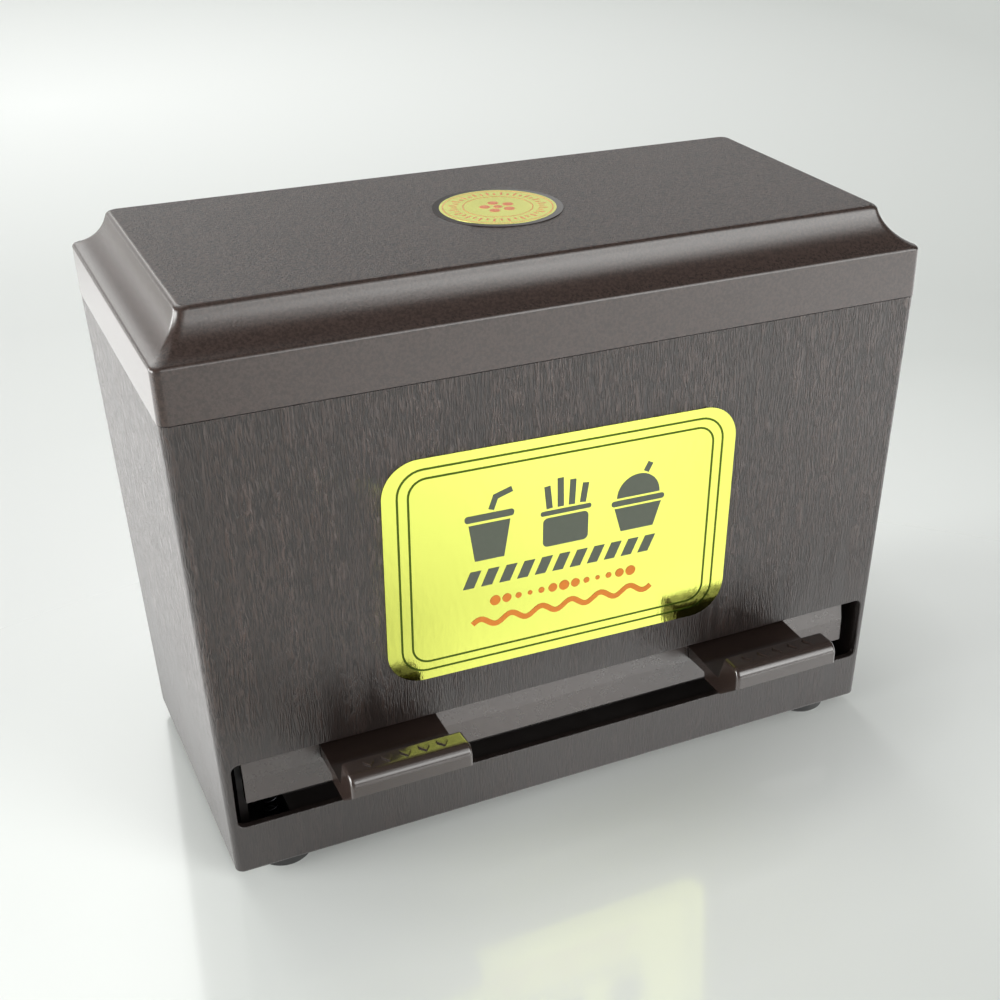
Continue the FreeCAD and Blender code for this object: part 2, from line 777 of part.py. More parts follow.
def make_side_frames():
    """Upright end plates: they carry the axles, the baffle, the stops and the springs' feet."""
    for name, side in SIDES.items():
        body = new_part(f"side_frame_{name}")
        outline = [
            ("frame_front_y", "floor_thickness"),
            ("frame_front_y", "frame_throat_z"),
            ("frame_wall_y", "frame_wall_z"),
            ("frame_wall_y", "frame_top"),
            ("frame_rear_y", "frame_top"),
            ("frame_rear_y", "frame_rear_z"),
            ("frame_heel_y", "frame_heel_z"),
            ("frame_heel_y", "floor_thickness"),
        ]
        plate(body, outline, *span(side, "frame_inner", "frame_outer"))
        foot = [
            ("frame_front_y", "floor_thickness"),
            ("frame_front_y", "frame_foot_top"),
            ("frame_heel_y", "frame_foot_top"),
            ("frame_heel_y", "floor_thickness"),
        ]
        plate(body, foot, *span(side, "frame_foot_inner", "frame_inner"))
        wing = [
            ("frame_wall_y", "frame_top - sheet"),
            ("frame_wall_y", "frame_top"),
            ("frame_rear_y", "frame_top"),
            ("frame_rear_y", "frame_top - sheet"),
        ]
        plate(body, wing, *span(side, "frame_outer", "frame_wing_outer"))
        stop_y = "pivot_y + bumper_back"
        tab = [
            (f"{stop_y} - stop_tab_half_depth", "bumper_bottom - sheet"),
            (f"{stop_y} - stop_tab_half_depth", "bumper_bottom"),
            (f"{stop_y} + stop_tab_half_depth", "bumper_bottom"),
            (f"{stop_y} + stop_tab_half_depth", "bumper_bottom - sheet"),
        ]
        plate(body, tab, *span(side, "stop_tab_inner", "frame_inner"))
        start, _ = span(side, "frame_inner", "frame_outer")
        drill_x(body, start, [("pivot_y", "pivot_z")], "pin_radius")
        drill_x(body, start, baffle_screws(), "clear_radius")
        places = [
            (f"{side} * frame_screw_x", "frame_screw_front_y"),
            (f"{side} * frame_screw_x", "frame_screw_rear_y"),
        ]
        drill(body, "XY_Plane", "frame_foot_top", places, "shank_radius", "frame_thickness")


def drill_x(body, start, places, radius):
    """Holes along X through a plate of the frames' thickness that starts at start."""
    drill(body, "YZ_Plane", start, places, radius, "frame_thickness", forward=True)


def baffle_screws():
    return [
        ("baffle_screw_low_y", "baffle_screw_low_z"),
        ("baffle_screw_high_y", "baffle_screw_high_z"),
    ]


# ---------------------------------------------------------------- straw store and tray


def make_hopper_ramp():
    """Sloping floor of the straw store, on a web that stands on the bin's floor."""
    body = new_part("hopper_ramp")

    def ramp_level(y, drop="0"):
        return f"ramp_front_z + ramp_slope * ({y} - ramp_front_y) - {drop}"

    nose_end = "(ramp_front_y + ramp_nose)"
    slope = [
        ("ramp_front_y", "ramp_front_z"),
        ("ramp_rear_y", ramp_level("ramp_rear_y")),
        ("ramp_rear_y", ramp_level("ramp_rear_y", "ramp_thickness")),
        (nose_end, ramp_level(nose_end, "ramp_thickness")),
        ("ramp_front_y", "ramp_front_z - ramp_nose_thickness"),
    ]
    sketch = new_sketch(body, "YZ_Plane")
    draw_outline(sketch, slope)
    pad(body, sketch, "2 * hopper_half_length", both_ways=True)
    web_rear = "(ramp_web_y + sheet)"
    web = [
        ("ramp_web_y", ramp_level("ramp_web_y", "ramp_thickness / 2")),
        (web_rear, ramp_level(web_rear, "ramp_thickness / 2")),
        (web_rear, "foot_sheet_top"),
        ("ramp_foot_y", "foot_sheet_top"),
        ("ramp_foot_y", "floor_thickness"),
        ("ramp_web_y", "floor_thickness"),
    ]
    stand = new_sketch(body, "YZ_Plane")
    draw_outline(stand, web)
    pad(body, stand, "2 * tray_half_length", both_ways=True)
    places = [(f"{side} * ramp_screw_x", "ramp_screw_y") for side in SIDES.values()]
    drill(body, "XY_Plane", "foot_sheet_top", places, "shank_radius", "sheet")


def make_hopper_baffle():
    """Sloping front wall of the straw store, with an end plate at each side frame."""
    body = new_part("hopper_baffle")
    under_y = "baffle_low_y - sheet * cos(baffle_lean)"
    under_z = "baffle_low_z - sheet * sin(baffle_lean)"
    bend_z = "baffle_wall_z - sheet * tan(baffle_lean / 2)"
    corners = [
        ("baffle_low_y", "baffle_low_z"),
        ("baffle_wall_y", "baffle_wall_z"),
        ("baffle_wall_y", "baffle_top"),
        ("baffle_wall_y - sheet", "baffle_top"),
        ("baffle_wall_y - sheet", bend_z),
        (under_y, under_z),
    ]
    sketch = new_sketch(body, "YZ_Plane")
    draw_outline(sketch, corners)
    pad(body, sketch, "2 * hopper_half_length", both_ways=True)
    round_edges(
        body, "baffle_edge_radius", lambda edge: across_at(edge, "baffle_low_y", "baffle_low_z")
    )
    gusset = [
        (under_y, under_z),
        ("baffle_wall_y - sheet", bend_z),
        ("gusset_wall_y", "gusset_wall_z"),
        ("gusset_low_y", "gusset_low_z"),
        ("gusset_toe_y", "gusset_toe_z"),
    ]
    near = "hopper_half_length - gusset_thickness"
    right = plate(body, gusset, near, "hopper_half_length")
    mirror(body, right)
    drill(
        body,
        "YZ_Plane",
        "0",
        baffle_screws(),
        "shank_radius",
        "2 * hopper_half_length",
        both_ways=True,
    )


def make_baffle_screws():
    body = new_part("baffle_screws", several=True)
    reach = "frame_thickness + gusset_thickness"
    for side in SIDES.values():
        seat = f"{side} * frame_outer"
        add_screws(body, "YZ_Plane", seat, baffle_screws(), "head_height", reach, inward=-side)


def make_straw_tray():
    """Trough behind the slot: a level front, a sloping back and two legs."""
    body = new_part("straw_tray")
    rear_y = "tray_back_y + tray_sheet"
    under = "tray_level - tray_sheet"
    corners = [
        ("tray_front_y", "tray_level"),
        ("tray_bend_y", "tray_level"),
        ("tray_knee_y", "tray_knee_z"),
        ("tray_back_y", "tray_back_z"),
        (rear_y, "tray_back_z"),
        (rear_y, "foot_sheet_top"),
        ("tray_foot_y", "foot_sheet_top"),
        ("tray_foot_y", "floor_thickness"),
        ("tray_back_y", "floor_thickness"),
        ("tray_back_y", "tray_leg_top_z"),
        (
            "tray_knee_y + tray_sheet * sin(tray_lean)",
            "tray_knee_z - tray_sheet * cos(tray_lean)",
        ),
        ("tray_bend_y + tray_sheet * tan(tray_lean / 2)", under),
        ("tray_front_y + tray_sheet", under),
        ("tray_front_y + tray_sheet", "floor_thickness"),
        ("tray_front_y", "floor_thickness"),
    ]
    sketch = new_sketch(body, "YZ_Plane")
    draw_outline(sketch, corners)
    pad(body, sketch, "2 * tray_half_length", both_ways=True)
    places = [(f"{side} * tray_screw_x", "tray_screw_y") for side in SIDES.values()]
    drill(body, "XY_Plane", "foot_sheet_top", places, "shank_radius", "sheet")


# ---------------------------------------------------------------- rocker


def make_press_bar():
    """Closing bar with an end arm at each side, notched for the levers."""
    body = new_part("press_bar")
    ridge = ahead("bar_front", "bar_ridge")
    bar = [
        ahead("bar_front", "bar_low"),
        ridge,
        ahead("bar_front - bar_lean", "bar_top"),
        ahead("bar_back - bar_lean", "bar_top"),
        ahead("bar_back", "bar_back_ridge"),
        ahead("bar_back", "bar_low"),
    ]
    sketch = new_sketch(body, "YZ_Plane")
    draw_outline(sketch, bar)
    pad(body, sketch, "2 * bar_half_length", both_ways=True)
    crest = ahead("bar_front - bar_lean", "bar_top")
    round_edges(body, "bar_edge_radius", lambda edge: across_at(edge, *crest))

    right = disc(body, "arm_radius", "arm_inner", "arm_outer")
    mirror(body, right)
    outside = "arm_radius + cut_margin"
    below = [
        ahead(f"-({outside})", "arm_tail_low"),
        ahead("arm_tail_end", "arm_tail_low"),
        ahead("arm_belly_rear", "arm_belly"),
        ahead("bar_back", "arm_belly"),
        ahead("bar_back", f"-({outside})"),
        ahead(f"-({outside})", f"-({outside})"),
    ]
    waste = new_sketch(body, "YZ_Plane")
    draw_outline(waste, below)
    pocket(body, waste, "2 * arm_outer + cut_margin", both_ways=True)
    seat = [
        ahead("spring_forward - seat_half_depth", "spring_top - pivot_z"),
        ahead("spring_forward - seat_half_depth", "spring_top - pivot_z + seat_thickness"),
        ahead("spring_forward + seat_half_depth", "spring_top - pivot_z + seat_thickness"),
        ahead("spring_forward + seat_half_depth", "spring_top - pivot_z"),
    ]
    right_seat = plate(body, seat, "spring_x - coil_radius - seat_margin", "arm_inner")
    mirror(body, right_seat)

    width = "2 * arm_outer"
    axis = [("pivot_y", "pivot_z")]
    drill(body, "YZ_Plane", "0", axis, "bush_radius", width, both_ways=True)
    drill(body, "YZ_Plane", "0", sector_screws(), "clear_radius", width, both_ways=True)

    notch = new_sketch(body, "XZ_Plane", "-pivot_y + bar_front + cut_margin")
    for side in SIDES.values():
        low_x, high_x = span(side, "lever_inner_x - lever_fit", "lever_outer_x + lever_fit")
        top = "pivot_z + bar_top + cut_margin"
        draw_box(notch, low_x, high_x, "lever_root_low - lever_fit", top)
    pocket(body, notch, "bar_thickness + bar_lean + 2 * cut_margin")
    back = "-bar_back_y"
    depth = "lever_screw_depth"
    drill(body, "XZ_Plane", back, lever_screws(), "shank_radius", depth, forward=True)


def lever_screws():
    """Places of the lever screws as (x, z)."""
    return [
        (f"{side} * lever_x + {hand} * lever_screw_x", "lever_screw_z")
        for side in SIDES.values()
        for hand in (-1, 1)
    ]


def sector_screws():
    """Places of the sector screws as (y, z)."""
    return [
        ahead("-boss_rear_y", "boss_rear_z"),
        ahead("boss_front_y", "boss_front_z"),
    ]


def make_press_levers():
    """Finger levers: flat arm, raised pad, hollow skirt, and a flange behind the bar."""
    for name, side in SIDES.items():
        body = new_part(f"press_lever_{name}")
        flange_back = "(bar_back_y + lever_flange)"
        pad_front = ("lever_tip", "pad_top")
        pad_rear = ("pad_back", "pad_top - pad_fall")
        profile = [
            (flange_back, "lever_root_top"),
            ("skirt_back", "lever_root_top - lever_arm_fall"),
            ("pad_heel", "lever_root_top - lever_heel_fall"),
            pad_rear,
            pad_front,
            ("lever_tip + pad_draft", "chin"),
            ("skirt_knee", "skirt_low"),
            ("skirt_back", "skirt_low"),
            ("skirt_back + skirt_lean", "lever_root_low + lever_underside_rise"),
            ("bar_back_y", "lever_root_low"),
            ("bar_back_y", "lever_flange_low"),
            (flange_back, "lever_flange_low"),
        ]
        low_x, high_x = span(side, "lever_inner_x", "lever_outer_x")
        plate(body, profile, low_x, high_x)
        round_edges(body, "pad_front_radius", lambda edge: across_at(edge, *pad_front))
        round_edges(body, "pad_back_radius", lambda edge: across_at(edge, *pad_rear))
        ends = [value(low_x), value(high_x)]
        round_edges(body, "pad_side_radius", lambda edge: on_pad_side(edge, ends))

        hollow = [
            ("skirt_back + skirt_lean", "skirt_low - cut_margin"),
            ("skirt_back + skirt_lean", "lever_root_top - lever_arm_fall - lever_wall"),
            ("pad_heel - hollow_bevel", "lever_root_top - lever_heel_fall - lever_wall"),
            ("pad_back - hollow_bevel", "pad_top - pad_fall - lever_wall"),
            ("lever_tip + lever_wall + hollow_bevel", "pad_top - lever_wall"),
            ("lever_tip + lever_wall", "pad_top - lever_wall - hollow_bevel"),
            ("lever_tip + lever_wall", "skirt_low - cut_margin"),
        ]
        near, far = span(side, "lever_inner_x + lever_wall", "lever_outer_x - lever_wall")
        sketch = new_sketch(body, "YZ_Plane", near)
        draw_outline(sketch, hollow)
        pocket(body, sketch, f"({far}) - ({near})", forward=True)
        places = [
            (f"{side} * lever_x + {hand} * lever_screw_x", "lever_screw_z") for hand in (-1, 1)
        ]
        front = "-bar_back_y + cut_margin"
        drill(body, "XZ_Plane", front, places, "shank_radius", "lever_flange + cut_margin")


def on_pad_side(edge, ends):
    """True for the outline edges of the pad's top and front on either side face."""
    box = edge.BoundBox
    on_side = any(lies_at(edge, x=end) for end in ends)
    above_chin = box.ZMin > value("chin - pad_draft")
    before_heel = box.YMax < value("pad_heel - cut_margin")
    return on_side and above_chin and before_heel


def make_lever_screws():
    body = new_part("lever_screws", several=True)
    seat = "-(bar_back_y + lever_flange)"
    reach = "lever_flange + lever_screw_depth - screw_end_gap"
    add_screws(body, "XZ_Plane", seat, lever_screws(), "head_height", reach, inward=1)


def make_feed_sector():
    """Curved plate about the rocker axis, with a one-straw shelf that leans back at rest."""
    body = new_part("feed_sector")
    width = "2 * arm_inner"
    ring = new_sketch(body, "YZ_Plane")
    draw_circle(ring, "pivot_y", "pivot_z", "sector_radius")
    draw_circle(ring, "pivot_y", "pivot_z", "sector_bore")
    pad(body, ring, width, both_ways=True)
    clear = "sector_radius + cut_margin"
    away = [
        ahead(f"-({clear})", clear),
        ahead("-sector_rear", clear),
        ahead("-sector_rear", "sector_cut"),
        ahead("sector_nose", "sector_cut"),
        ahead("sector_nose", clear),
        ahead(clear, clear),
        ahead(clear, f"-({clear})"),
        ahead(f"-({clear})", f"-({clear})"),
    ]
    waste = new_sketch(body, "YZ_Plane")
    draw_outline(waste, away)
    pocket(body, waste, f"{width} + cut_margin", both_ways=True)
    shelf = [
        ahead("-step_back - step_lean", clear),
        ahead("-step_back", "shelf_low"),
        ahead("sector_nose + cut_margin", "shelf_low + shelf_rise"),
        ahead("sector_nose + cut_margin", clear),
    ]
    above = new_sketch(body, "YZ_Plane")
    draw_outline(above, shelf)
    pocket(body, above, f"{width} + cut_margin", both_ways=True)
    bosses = new_sketch(body, "YZ_Plane")
    for across, up in sector_screws():
        draw_circle(bosses, across, up, "boss_radius")
    pad(body, bosses, width, both_ways=True)
    drill(body, "YZ_Plane", "0", sector_screws(), "shank_radius", width, both_ways=True)


def make_sector_screws():
    body = new_part("sector_screws", several=True)
    for side in SIDES.values():
        seat = f"{side} * arm_outer"
        head = "flat_head_height"
        reach = "sector_screw_reach"
        add_screws(body, "YZ_Plane", seat, sector_screws(), head, reach, inward=-side)


# ---------------------------------------------------------------- axles and bearings


def turned_part(label, side, corners):
    """A piece turned about the rocker axis; corners are (distance from centre, radius)."""
    body = new_part(label, "0", "pivot_y", "pivot_z")
    sketch = new_sketch(body, "XZ_Plane")
    draw_outline(sketch, [(f"{side} * ({along})", radius) for along, radius in corners])
    turn(body, sketch, "H_Axis")
    return body


def make_pivots():
    groove_start = "clip_outer - clip_thickness - groove_play"
    groove_end = "clip_outer + groove_play"
    for name, side in SIDES.items():
        pin = [
            ("pin_inner_end", "0"),
            ("pin_inner_end", "pin_radius - pin_chamfer"),
            ("pin_inner_end + pin_chamfer", "pin_radius"),
            (groove_start, "pin_radius"),
            (groove_start, "groove_radius"),
            (groove_end, "groove_radius"),
            (groove_end, "pin_radius"),
            ("frame_outer", "pin_radius"),
            ("frame_outer", "pin_head_radius"),
            ("frame_outer + pin_head_height", "pin_head_radius - pin_chamfer"),
            ("frame_outer + pin_head_height", "0"),
        ]
        turned_part(f"pivot_pin_{name}", side, pin)
        bore = "pin_radius + bush_clearance"
        bush = [
            ("arm_inner", bore),
            ("arm_inner", "bush_radius"),
            ("arm_outer", "bush_radius"),
            ("arm_outer", "bush_flange_radius"),
            ("arm_outer + bush_flange", "bush_flange_radius"),
            ("arm_outer + bush_flange", bore),
        ]
        turned_part(f"pivot_bush_{name}", side, bush)
        clip = [
            ("clip_outer - clip_thickness", "groove_radius"),
            ("clip_outer - clip_thickness", "clip_radius"),
            ("clip_outer", "clip_radius"),
            ("clip_outer", "groove_radius"),
        ]
        body = turned_part(f"pin_clip_{name}", side, clip)
        mouth = new_sketch(body, "YZ_Plane")
        draw_box(mouth, "-clip_mouth", "clip_mouth", "-clip_radius - cut_margin", "0")
        pocket(body, mouth, "2 * frame_outer", both_ways=True)


def make_springs():
    """Return springs: open coils that stand on the frames' feet under the arms' seats."""
    for name, side in SIDES.items():
        place = (f"{side} * spring_x", "pivot_y - spring_forward", "frame_foot_top + wire_radius")
        body = new_part(f"return_spring_{name}", *place)
        sketch = new_sketch(body, "XZ_Plane")
        draw_circle(sketch, "coil_radius", "0", "wire_radius")
        coil = body.newObject("PartDesign::AdditiveHelix", "coil")
        coil.Profile = sketch
        coil.ReferenceAxis = (sketch, ["V_Axis"])
        coil.Mode = "pitch-height-angle"
        bind(coil, "Pitch", "coil_pitch")
        bind(coil, "Height", "spring_length - 2 * wire_radius")
        finish(body, coil, grows=True)


def make_stop_bumpers():
    for name, side in SIDES.items():
        place = (f"{side} * bumper_x", "pivot_y + bumper_back", "bumper_bottom")
        body = new_part(f"stop_bumper_{name}", *place)
        sketch = new_sketch(body, "XY_Plane")
        draw_circle(sketch, "0", "0", "bumper_radius")
        pad(body, sketch, "bumper_height")
        at_top = value("bumper_height")
        round_edges(body, "bumper_edge_radius", lambda edge: lies_at(edge, z=at_top))


# ---------------------------------------------------------------- build, check and write

make_body_shell()
make_lid()
make_lid_badge()
make_front_label()
make_feet()
make_foot_screws()
make_side_frames()
make_base_screws()
make_hopper_ramp()
make_hopper_baffle()
make_baffle_screws()
make_straw_tray()
make_press_bar()
make_press_levers()
make_lever_screws()
make_feed_sector()
make_sector_screws()
make_pivots()
make_springs()
make_stop_bumpers()
doc.recompute()

for item in doc.Objects:
    if "Invalid" in item.State or "Error" in item.State:
        raise RuntimeError(f"{item.Label} failed: {item.State}")
for part in PARTS:
    if part.Shape.isNull() or not part.Shape.isValid() or not part.Shape.Solids:
        raise RuntimeError(f"{part.Label} has no valid shape")

os.makedirs("parts", exist_ok=True)
for part in PARTS:
    part.Shape.exportStep(f"parts/{part.Label}.step")
    box = part.Shape.BoundBox
    low = f"{box.XMin:8.2f} {box.YMin:8.2f} {box.ZMin:8.2f}"
    high = f"{box.XMax:8.2f} {box.YMax:8.2f} {box.ZMax:8.2f}"
    print(f"{part.Label:22s} {len(part.Shape.Solids)} solids  {low}  {high}")
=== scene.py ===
import math

import bmesh
import bpy
from mathutils import Matrix, Vector


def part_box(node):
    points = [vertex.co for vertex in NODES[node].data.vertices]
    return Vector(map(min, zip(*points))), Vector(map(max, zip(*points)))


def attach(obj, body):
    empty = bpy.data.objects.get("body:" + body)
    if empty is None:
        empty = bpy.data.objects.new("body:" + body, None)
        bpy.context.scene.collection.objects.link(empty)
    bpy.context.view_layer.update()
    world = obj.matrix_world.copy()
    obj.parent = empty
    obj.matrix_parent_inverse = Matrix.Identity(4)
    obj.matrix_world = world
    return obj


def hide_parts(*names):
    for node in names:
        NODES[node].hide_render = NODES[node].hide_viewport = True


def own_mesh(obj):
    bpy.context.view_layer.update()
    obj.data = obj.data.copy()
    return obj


# Looks of a counter-top straw dispenser: dark brown moulded plastic with an upright wood grain, a
# gold film label, a small round badge, and two glossy finger levers in the outlet slot.
# Lengths are metres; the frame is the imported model's, +X right, -Y towards the user, +Z up.

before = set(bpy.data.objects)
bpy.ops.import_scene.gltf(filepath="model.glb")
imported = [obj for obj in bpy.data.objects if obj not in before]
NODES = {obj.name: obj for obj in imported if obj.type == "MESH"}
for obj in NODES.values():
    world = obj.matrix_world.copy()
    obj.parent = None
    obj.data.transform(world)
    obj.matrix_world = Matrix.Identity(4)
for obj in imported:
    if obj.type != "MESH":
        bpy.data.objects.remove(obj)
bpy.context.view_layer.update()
MM = 0.001

# ---------------------------------------------------------------- camera

CAMERA_PLACE = (-0.1985, -0.4661, 0.3634)
CAMERA_AZIMUTH = -26.66
CAMERA_ELEVATION = 30.71
CAMERA_ROLL = 0.61
CAMERA_LENS = 54.14
CAMERA_SENSOR = 36
CAMERA_SHIFT = (-0.1016, 0.0912)
CAMERA_CLIP = (0.01, 50)


def make_camera():
    """The photograph's camera: degrees round to the right from straight in front, up, and roll."""
    data = bpy.data.cameras.new("camera")
    data.sensor_width = CAMERA_SENSOR
    data.lens = CAMERA_LENS
    data.shift_x, data.shift_y = CAMERA_SHIFT
    data.clip_start, data.clip_end = CAMERA_CLIP
    camera = bpy.data.objects.new("camera", data)
    bpy.context.scene.collection.objects.link(camera)
    turn = math.radians(CAMERA_AZIMUTH)
    rise = math.radians(CAMERA_ELEVATION)
    across = math.cos(rise)
    back = Vector((math.sin(turn) * across, -math.cos(turn) * across, math.sin(rise)))
    aim = (-back).to_track_quat("-Z", "Y").to_matrix().to_4x4()
    roll = Matrix.Rotation(math.radians(CAMERA_ROLL), 4, "Z")
    camera.matrix_world = Matrix.Translation(CAMERA_PLACE) @ aim @ roll
    bpy.context.scene.camera = camera


# ---------------------------------------------------------------- colours, linear

BROWN = (0.039, 0.0255, 0.0215)
# Painted shade and highlight: BROWN_DEEP darkens the grain's grooves, BROWN_LIT lights its ridges
BROWN_DEEP = (0.012, 0.008, 0.007)
BROWN_LIT = (0.068, 0.045, 0.038)
BROWN_INNER = (0.012, 0.009, 0.008)
GOLD = (0.56, 0.595, 0.12)
BADGE_GOLD = (0.86, 0.86, 0.22)
PRINT_GREY = (0.062, 0.072, 0.050)
PRINT_LINE = (0.055, 0.085, 0.012)
PRINT_ORANGE = (0.62, 0.18, 0.008)
PRINT_RED = (0.62, 0.17, 0.06)
RUBBER = (0.012, 0.012, 0.012)
RUBBER_DUSTY = (0.03, 0.029, 0.028)
STEEL = (0.55, 0.55, 0.57)
SPRING_BLACK = (0.045, 0.045, 0.05)
ACETAL = (0.72, 0.71, 0.67)

# ---------------------------------------------------------------- material helpers


def new_material(name, colour, roughness, **sockets):
    """A material on one shader; sockets are its other inputs, with _ for each space."""
    material = bpy.data.materials.new(name)
    material.use_nodes = True
    shader = material.node_tree.nodes["Principled BSDF"]
    shader.inputs["Base Color"].default_value = (*colour, 1)
    shader.inputs["Roughness"].default_value = roughness
    for socket, number in sockets.items():
        shader.inputs[socket.replace("_", " ")].default_value = number
    return material


def shader_of(material):
    return material.node_tree.nodes["Principled BSDF"]


def add_node(material, kind, inputs=(), **settings):
    """A new node; inputs maps its sockets to numbers or to other nodes' outputs."""
    node = material.node_tree.nodes.new(kind)
    for name, setting in settings.items():
        setattr(node, name, setting)
    for socket, source in dict(inputs).items():
        if isinstance(source, bpy.types.NodeSocket):
            material.node_tree.links.new(source, node.inputs[socket])
        else:
            node.inputs[socket].default_value = source
    return node


def object_place(material):
    """Places on the object, in metres of its own frame."""
    return add_node(material, "ShaderNodeTexCoord").outputs["Object"]


def noise(material, place, scale, detail=2.0, roughness=0.5):
    """Soft noise from 0 to 1, of a scale in waves per metre."""
    inputs = {"Vector": place, "Scale": scale, "Detail": detail, "Roughness": roughness}
    return add_node(material, "ShaderNodeTexNoise", inputs).outputs["Fac"]


def spread(material, source, low, high, out_low=0.0, out_high=1.0):
    """Map a range of a value onto another, with clamped ends."""
    inputs = {
        "Value": source,
        "From Min": low,
        "From Max": high,
        "To Min": out_low,
        "To Max": out_high,
    }
    return add_node(material, "ShaderNodeMapRange", inputs).outputs["Result"]


def math_node(material, operation, first, second):
    node = add_node(material, "ShaderNodeMath", {0: first, 1: second}, operation=operation)
    return node.outputs["Value"]


def distance(material, place, middle):
    inputs = {0: place, 1: middle}
    node = add_node(material, "ShaderNodeVectorMath", inputs, operation="DISTANCE")
    return node.outputs["Value"]


def blend_colours(material, factor, first, second):
    """From the first colour to the second as the factor goes from 0 to 1."""
    node = add_node(material, "ShaderNodeMix", {"Factor": factor}, data_type="RGBA")
    colours = [socket for socket in node.inputs if socket.type == "RGBA"]
    colours[0].default_value = (*first, 1)
    colours[1].default_value = (*second, 1)
    return next(socket for socket in node.outputs if socket.type == "RGBA")


def feed(material, socket, source):
    """Link a node's output to an input of the shader."""
    material.node_tree.links.new(source, shader_of(material).inputs[socket])


def raise_surface(material, height, depth, strength=1.0):
    """Bump the shader's surface by a height from 0 to 1, over a depth in metres."""
    inputs = {"Height": height, "Distance": depth, "Strength": strength}
    feed(material, "Normal", add_node(material, "ShaderNodeBump", inputs).outputs["Normal"])


def height_of(material):
    """The object's own z, as a value."""
    split = add_node(material, "ShaderNodeSeparateXYZ", {"Vector": object_place(material)})
    return split.outputs["Z"]


def scaled(colour, share):
    """A darker or lighter colour, with no part above 1."""
    return tuple(min(1, share * part) for part in colour)


# ---------------------------------------------------------------- materials

# Scales are waves per metre and depths are metres. A range is the part of a noise or a height that
# a texture uses, and a stretch below 1 draws the texture out along z.
PLASTIC_SPECULAR = 0.65
SMOOTH_SPECULAR = 0.85

GRAIN_WANDER_SCALE = 150
GRAIN_WANDER = 1.1 * MM
FIBRE_SCALE = 2250
FIBRE_STRETCH = (1, 1, 0.08)
FIBRE_RANGE = (0.38, 0.60)
BOARD_SCALE = 240
BOARD_STRETCH = (1, 1, 0.04)
BOARD_RANGE = (0.35, 0.62)
BOARD_LEAST = 0.35
GRAIN_FADE_HEIGHTS = (0.05, 0.10)
GRAIN_FADE_LEAST = 0.25
GRAIN_DEPTH = 0.45 * MM
GRAIN_ROUGHNESS = (0.38, 0.27)

SAND_SCALE = 950
SAND_DEPTH = 0.8 * MM
SAND_LEAST = 0.06
SAND_EDGE = (0.12 * MM, 0.02 * MM)
LID_ROUGHNESS = (0.27, 0.42)
SPECKLE_SCALE = 980
SPECKLE_RANGE = (0.4, 0.6)
SPECKLE_REACH = (0.15, 0.5)
SPECKLE_DARKER = 0.1
SPECKLE_LIGHTER = 2.1

CLOUD_RANGE = (0.3, 0.7)
SMOOTH_GRAIN_SCALE = 1500
SMOOTH_CLOUD_SCALE = 140
SMOOTH_ROUGHNESS = (-0.04, 0.05)
SMOOTH_DARKER = 0.84
MOULD_GRAIN = 0.05 * MM
FINE_GRAIN = 0.02 * MM

FILM_WANDER_SCALE = 170
FILM_WANDER = 1.5 * MM
FILM_WAVE_SCALE = 700
FILM_WAVE_STRETCH = (1, 1, 0.3)
FILM_CLOUD_SCALE = 40
FILM_DEPTH = 0.05 * MM
FILM_ROUGHER = 0.04

INK_CLOUD_SCALE = 500
INK_PALER = 1.18
INK_DEPTH = 0.01 * MM

RUBBER_GRAIN_SCALE = 900
RUBBER_DEPTH = 0.06 * MM
RUBBER_DUST_SCALE = 120
RUBBER_DUST_RANGE = (0.45, 0.75)

SCRATCH_SCALE = 900
SCRATCH_DEPTH = 0.02 * MM
SCRATCH_ROUGHNESS = 0.08

CLEAR_WAVE_SCALE = 260
CLEAR_DEPTH = 0.03 * MM


def offset_place(material, place, scale, reach):
    """Shift places sideways by a slow noise, so that straight grain wanders."""
    inputs = {"Vector": place, "Scale": scale, "Detail": 1.0}
    wander = add_node(material, "ShaderNodeTexNoise", inputs).outputs["Color"]
    inputs = {0: wander, 1: (reach, reach, 0), 2: (-reach / 2, -reach / 2, 0)}
    shift = add_node(material, "ShaderNodeVectorMath", inputs, operation="MULTIPLY_ADD")
    inputs = {0: place, 1: shift.outputs["Vector"]}
    return add_node(material, "ShaderNodeVectorMath", inputs, operation="ADD").outputs["Vector"]


def stretch_place(material, place, stretch):
    """Scale places, so that what is drawn there comes out longer where the number is below 1."""
    mapping = add_node(material, "ShaderNodeMapping", {"Vector": place, "Scale": stretch})
    return mapping.outputs["Vector"]


def grained_plastic():
    """Dark brown plastic embossed with upright wood fibres that fade towards the slot."""
    material = new_material(
        "grained_plastic", BROWN, GRAIN_ROUGHNESS[0], Specular_IOR_Level=PLASTIC_SPECULAR
    )
    place = offset_place(material, object_place(material), GRAIN_WANDER_SCALE, GRAIN_WANDER)
    fibres = noise(material, stretch_place(material, place, FIBRE_STRETCH), FIBRE_SCALE)
    boards = noise(material, stretch_place(material, place, BOARD_STRETCH), BOARD_SCALE)
    ridges = spread(material, fibres, *FIBRE_RANGE)
    bands = spread(material, boards, *BOARD_RANGE, BOARD_LEAST, 1.0)
    fade = spread(material, height_of(material), *GRAIN_FADE_HEIGHTS, GRAIN_FADE_LEAST, 1.0)
    relief = math_node(material, "MULTIPLY", ridges, math_node(material, "MULTIPLY", bands, fade))
    raise_surface(material, relief, GRAIN_DEPTH)
    # Partly the grain's own tone, partly painted shade in grooves and a painted highlight on
    # ridges
    feed(material, "Base Color", blend_colours(material, relief, BROWN_DEEP, BROWN_LIT))
    feed(material, "Roughness", spread(material, relief, 0, 1, *GRAIN_ROUGHNESS))
    return material


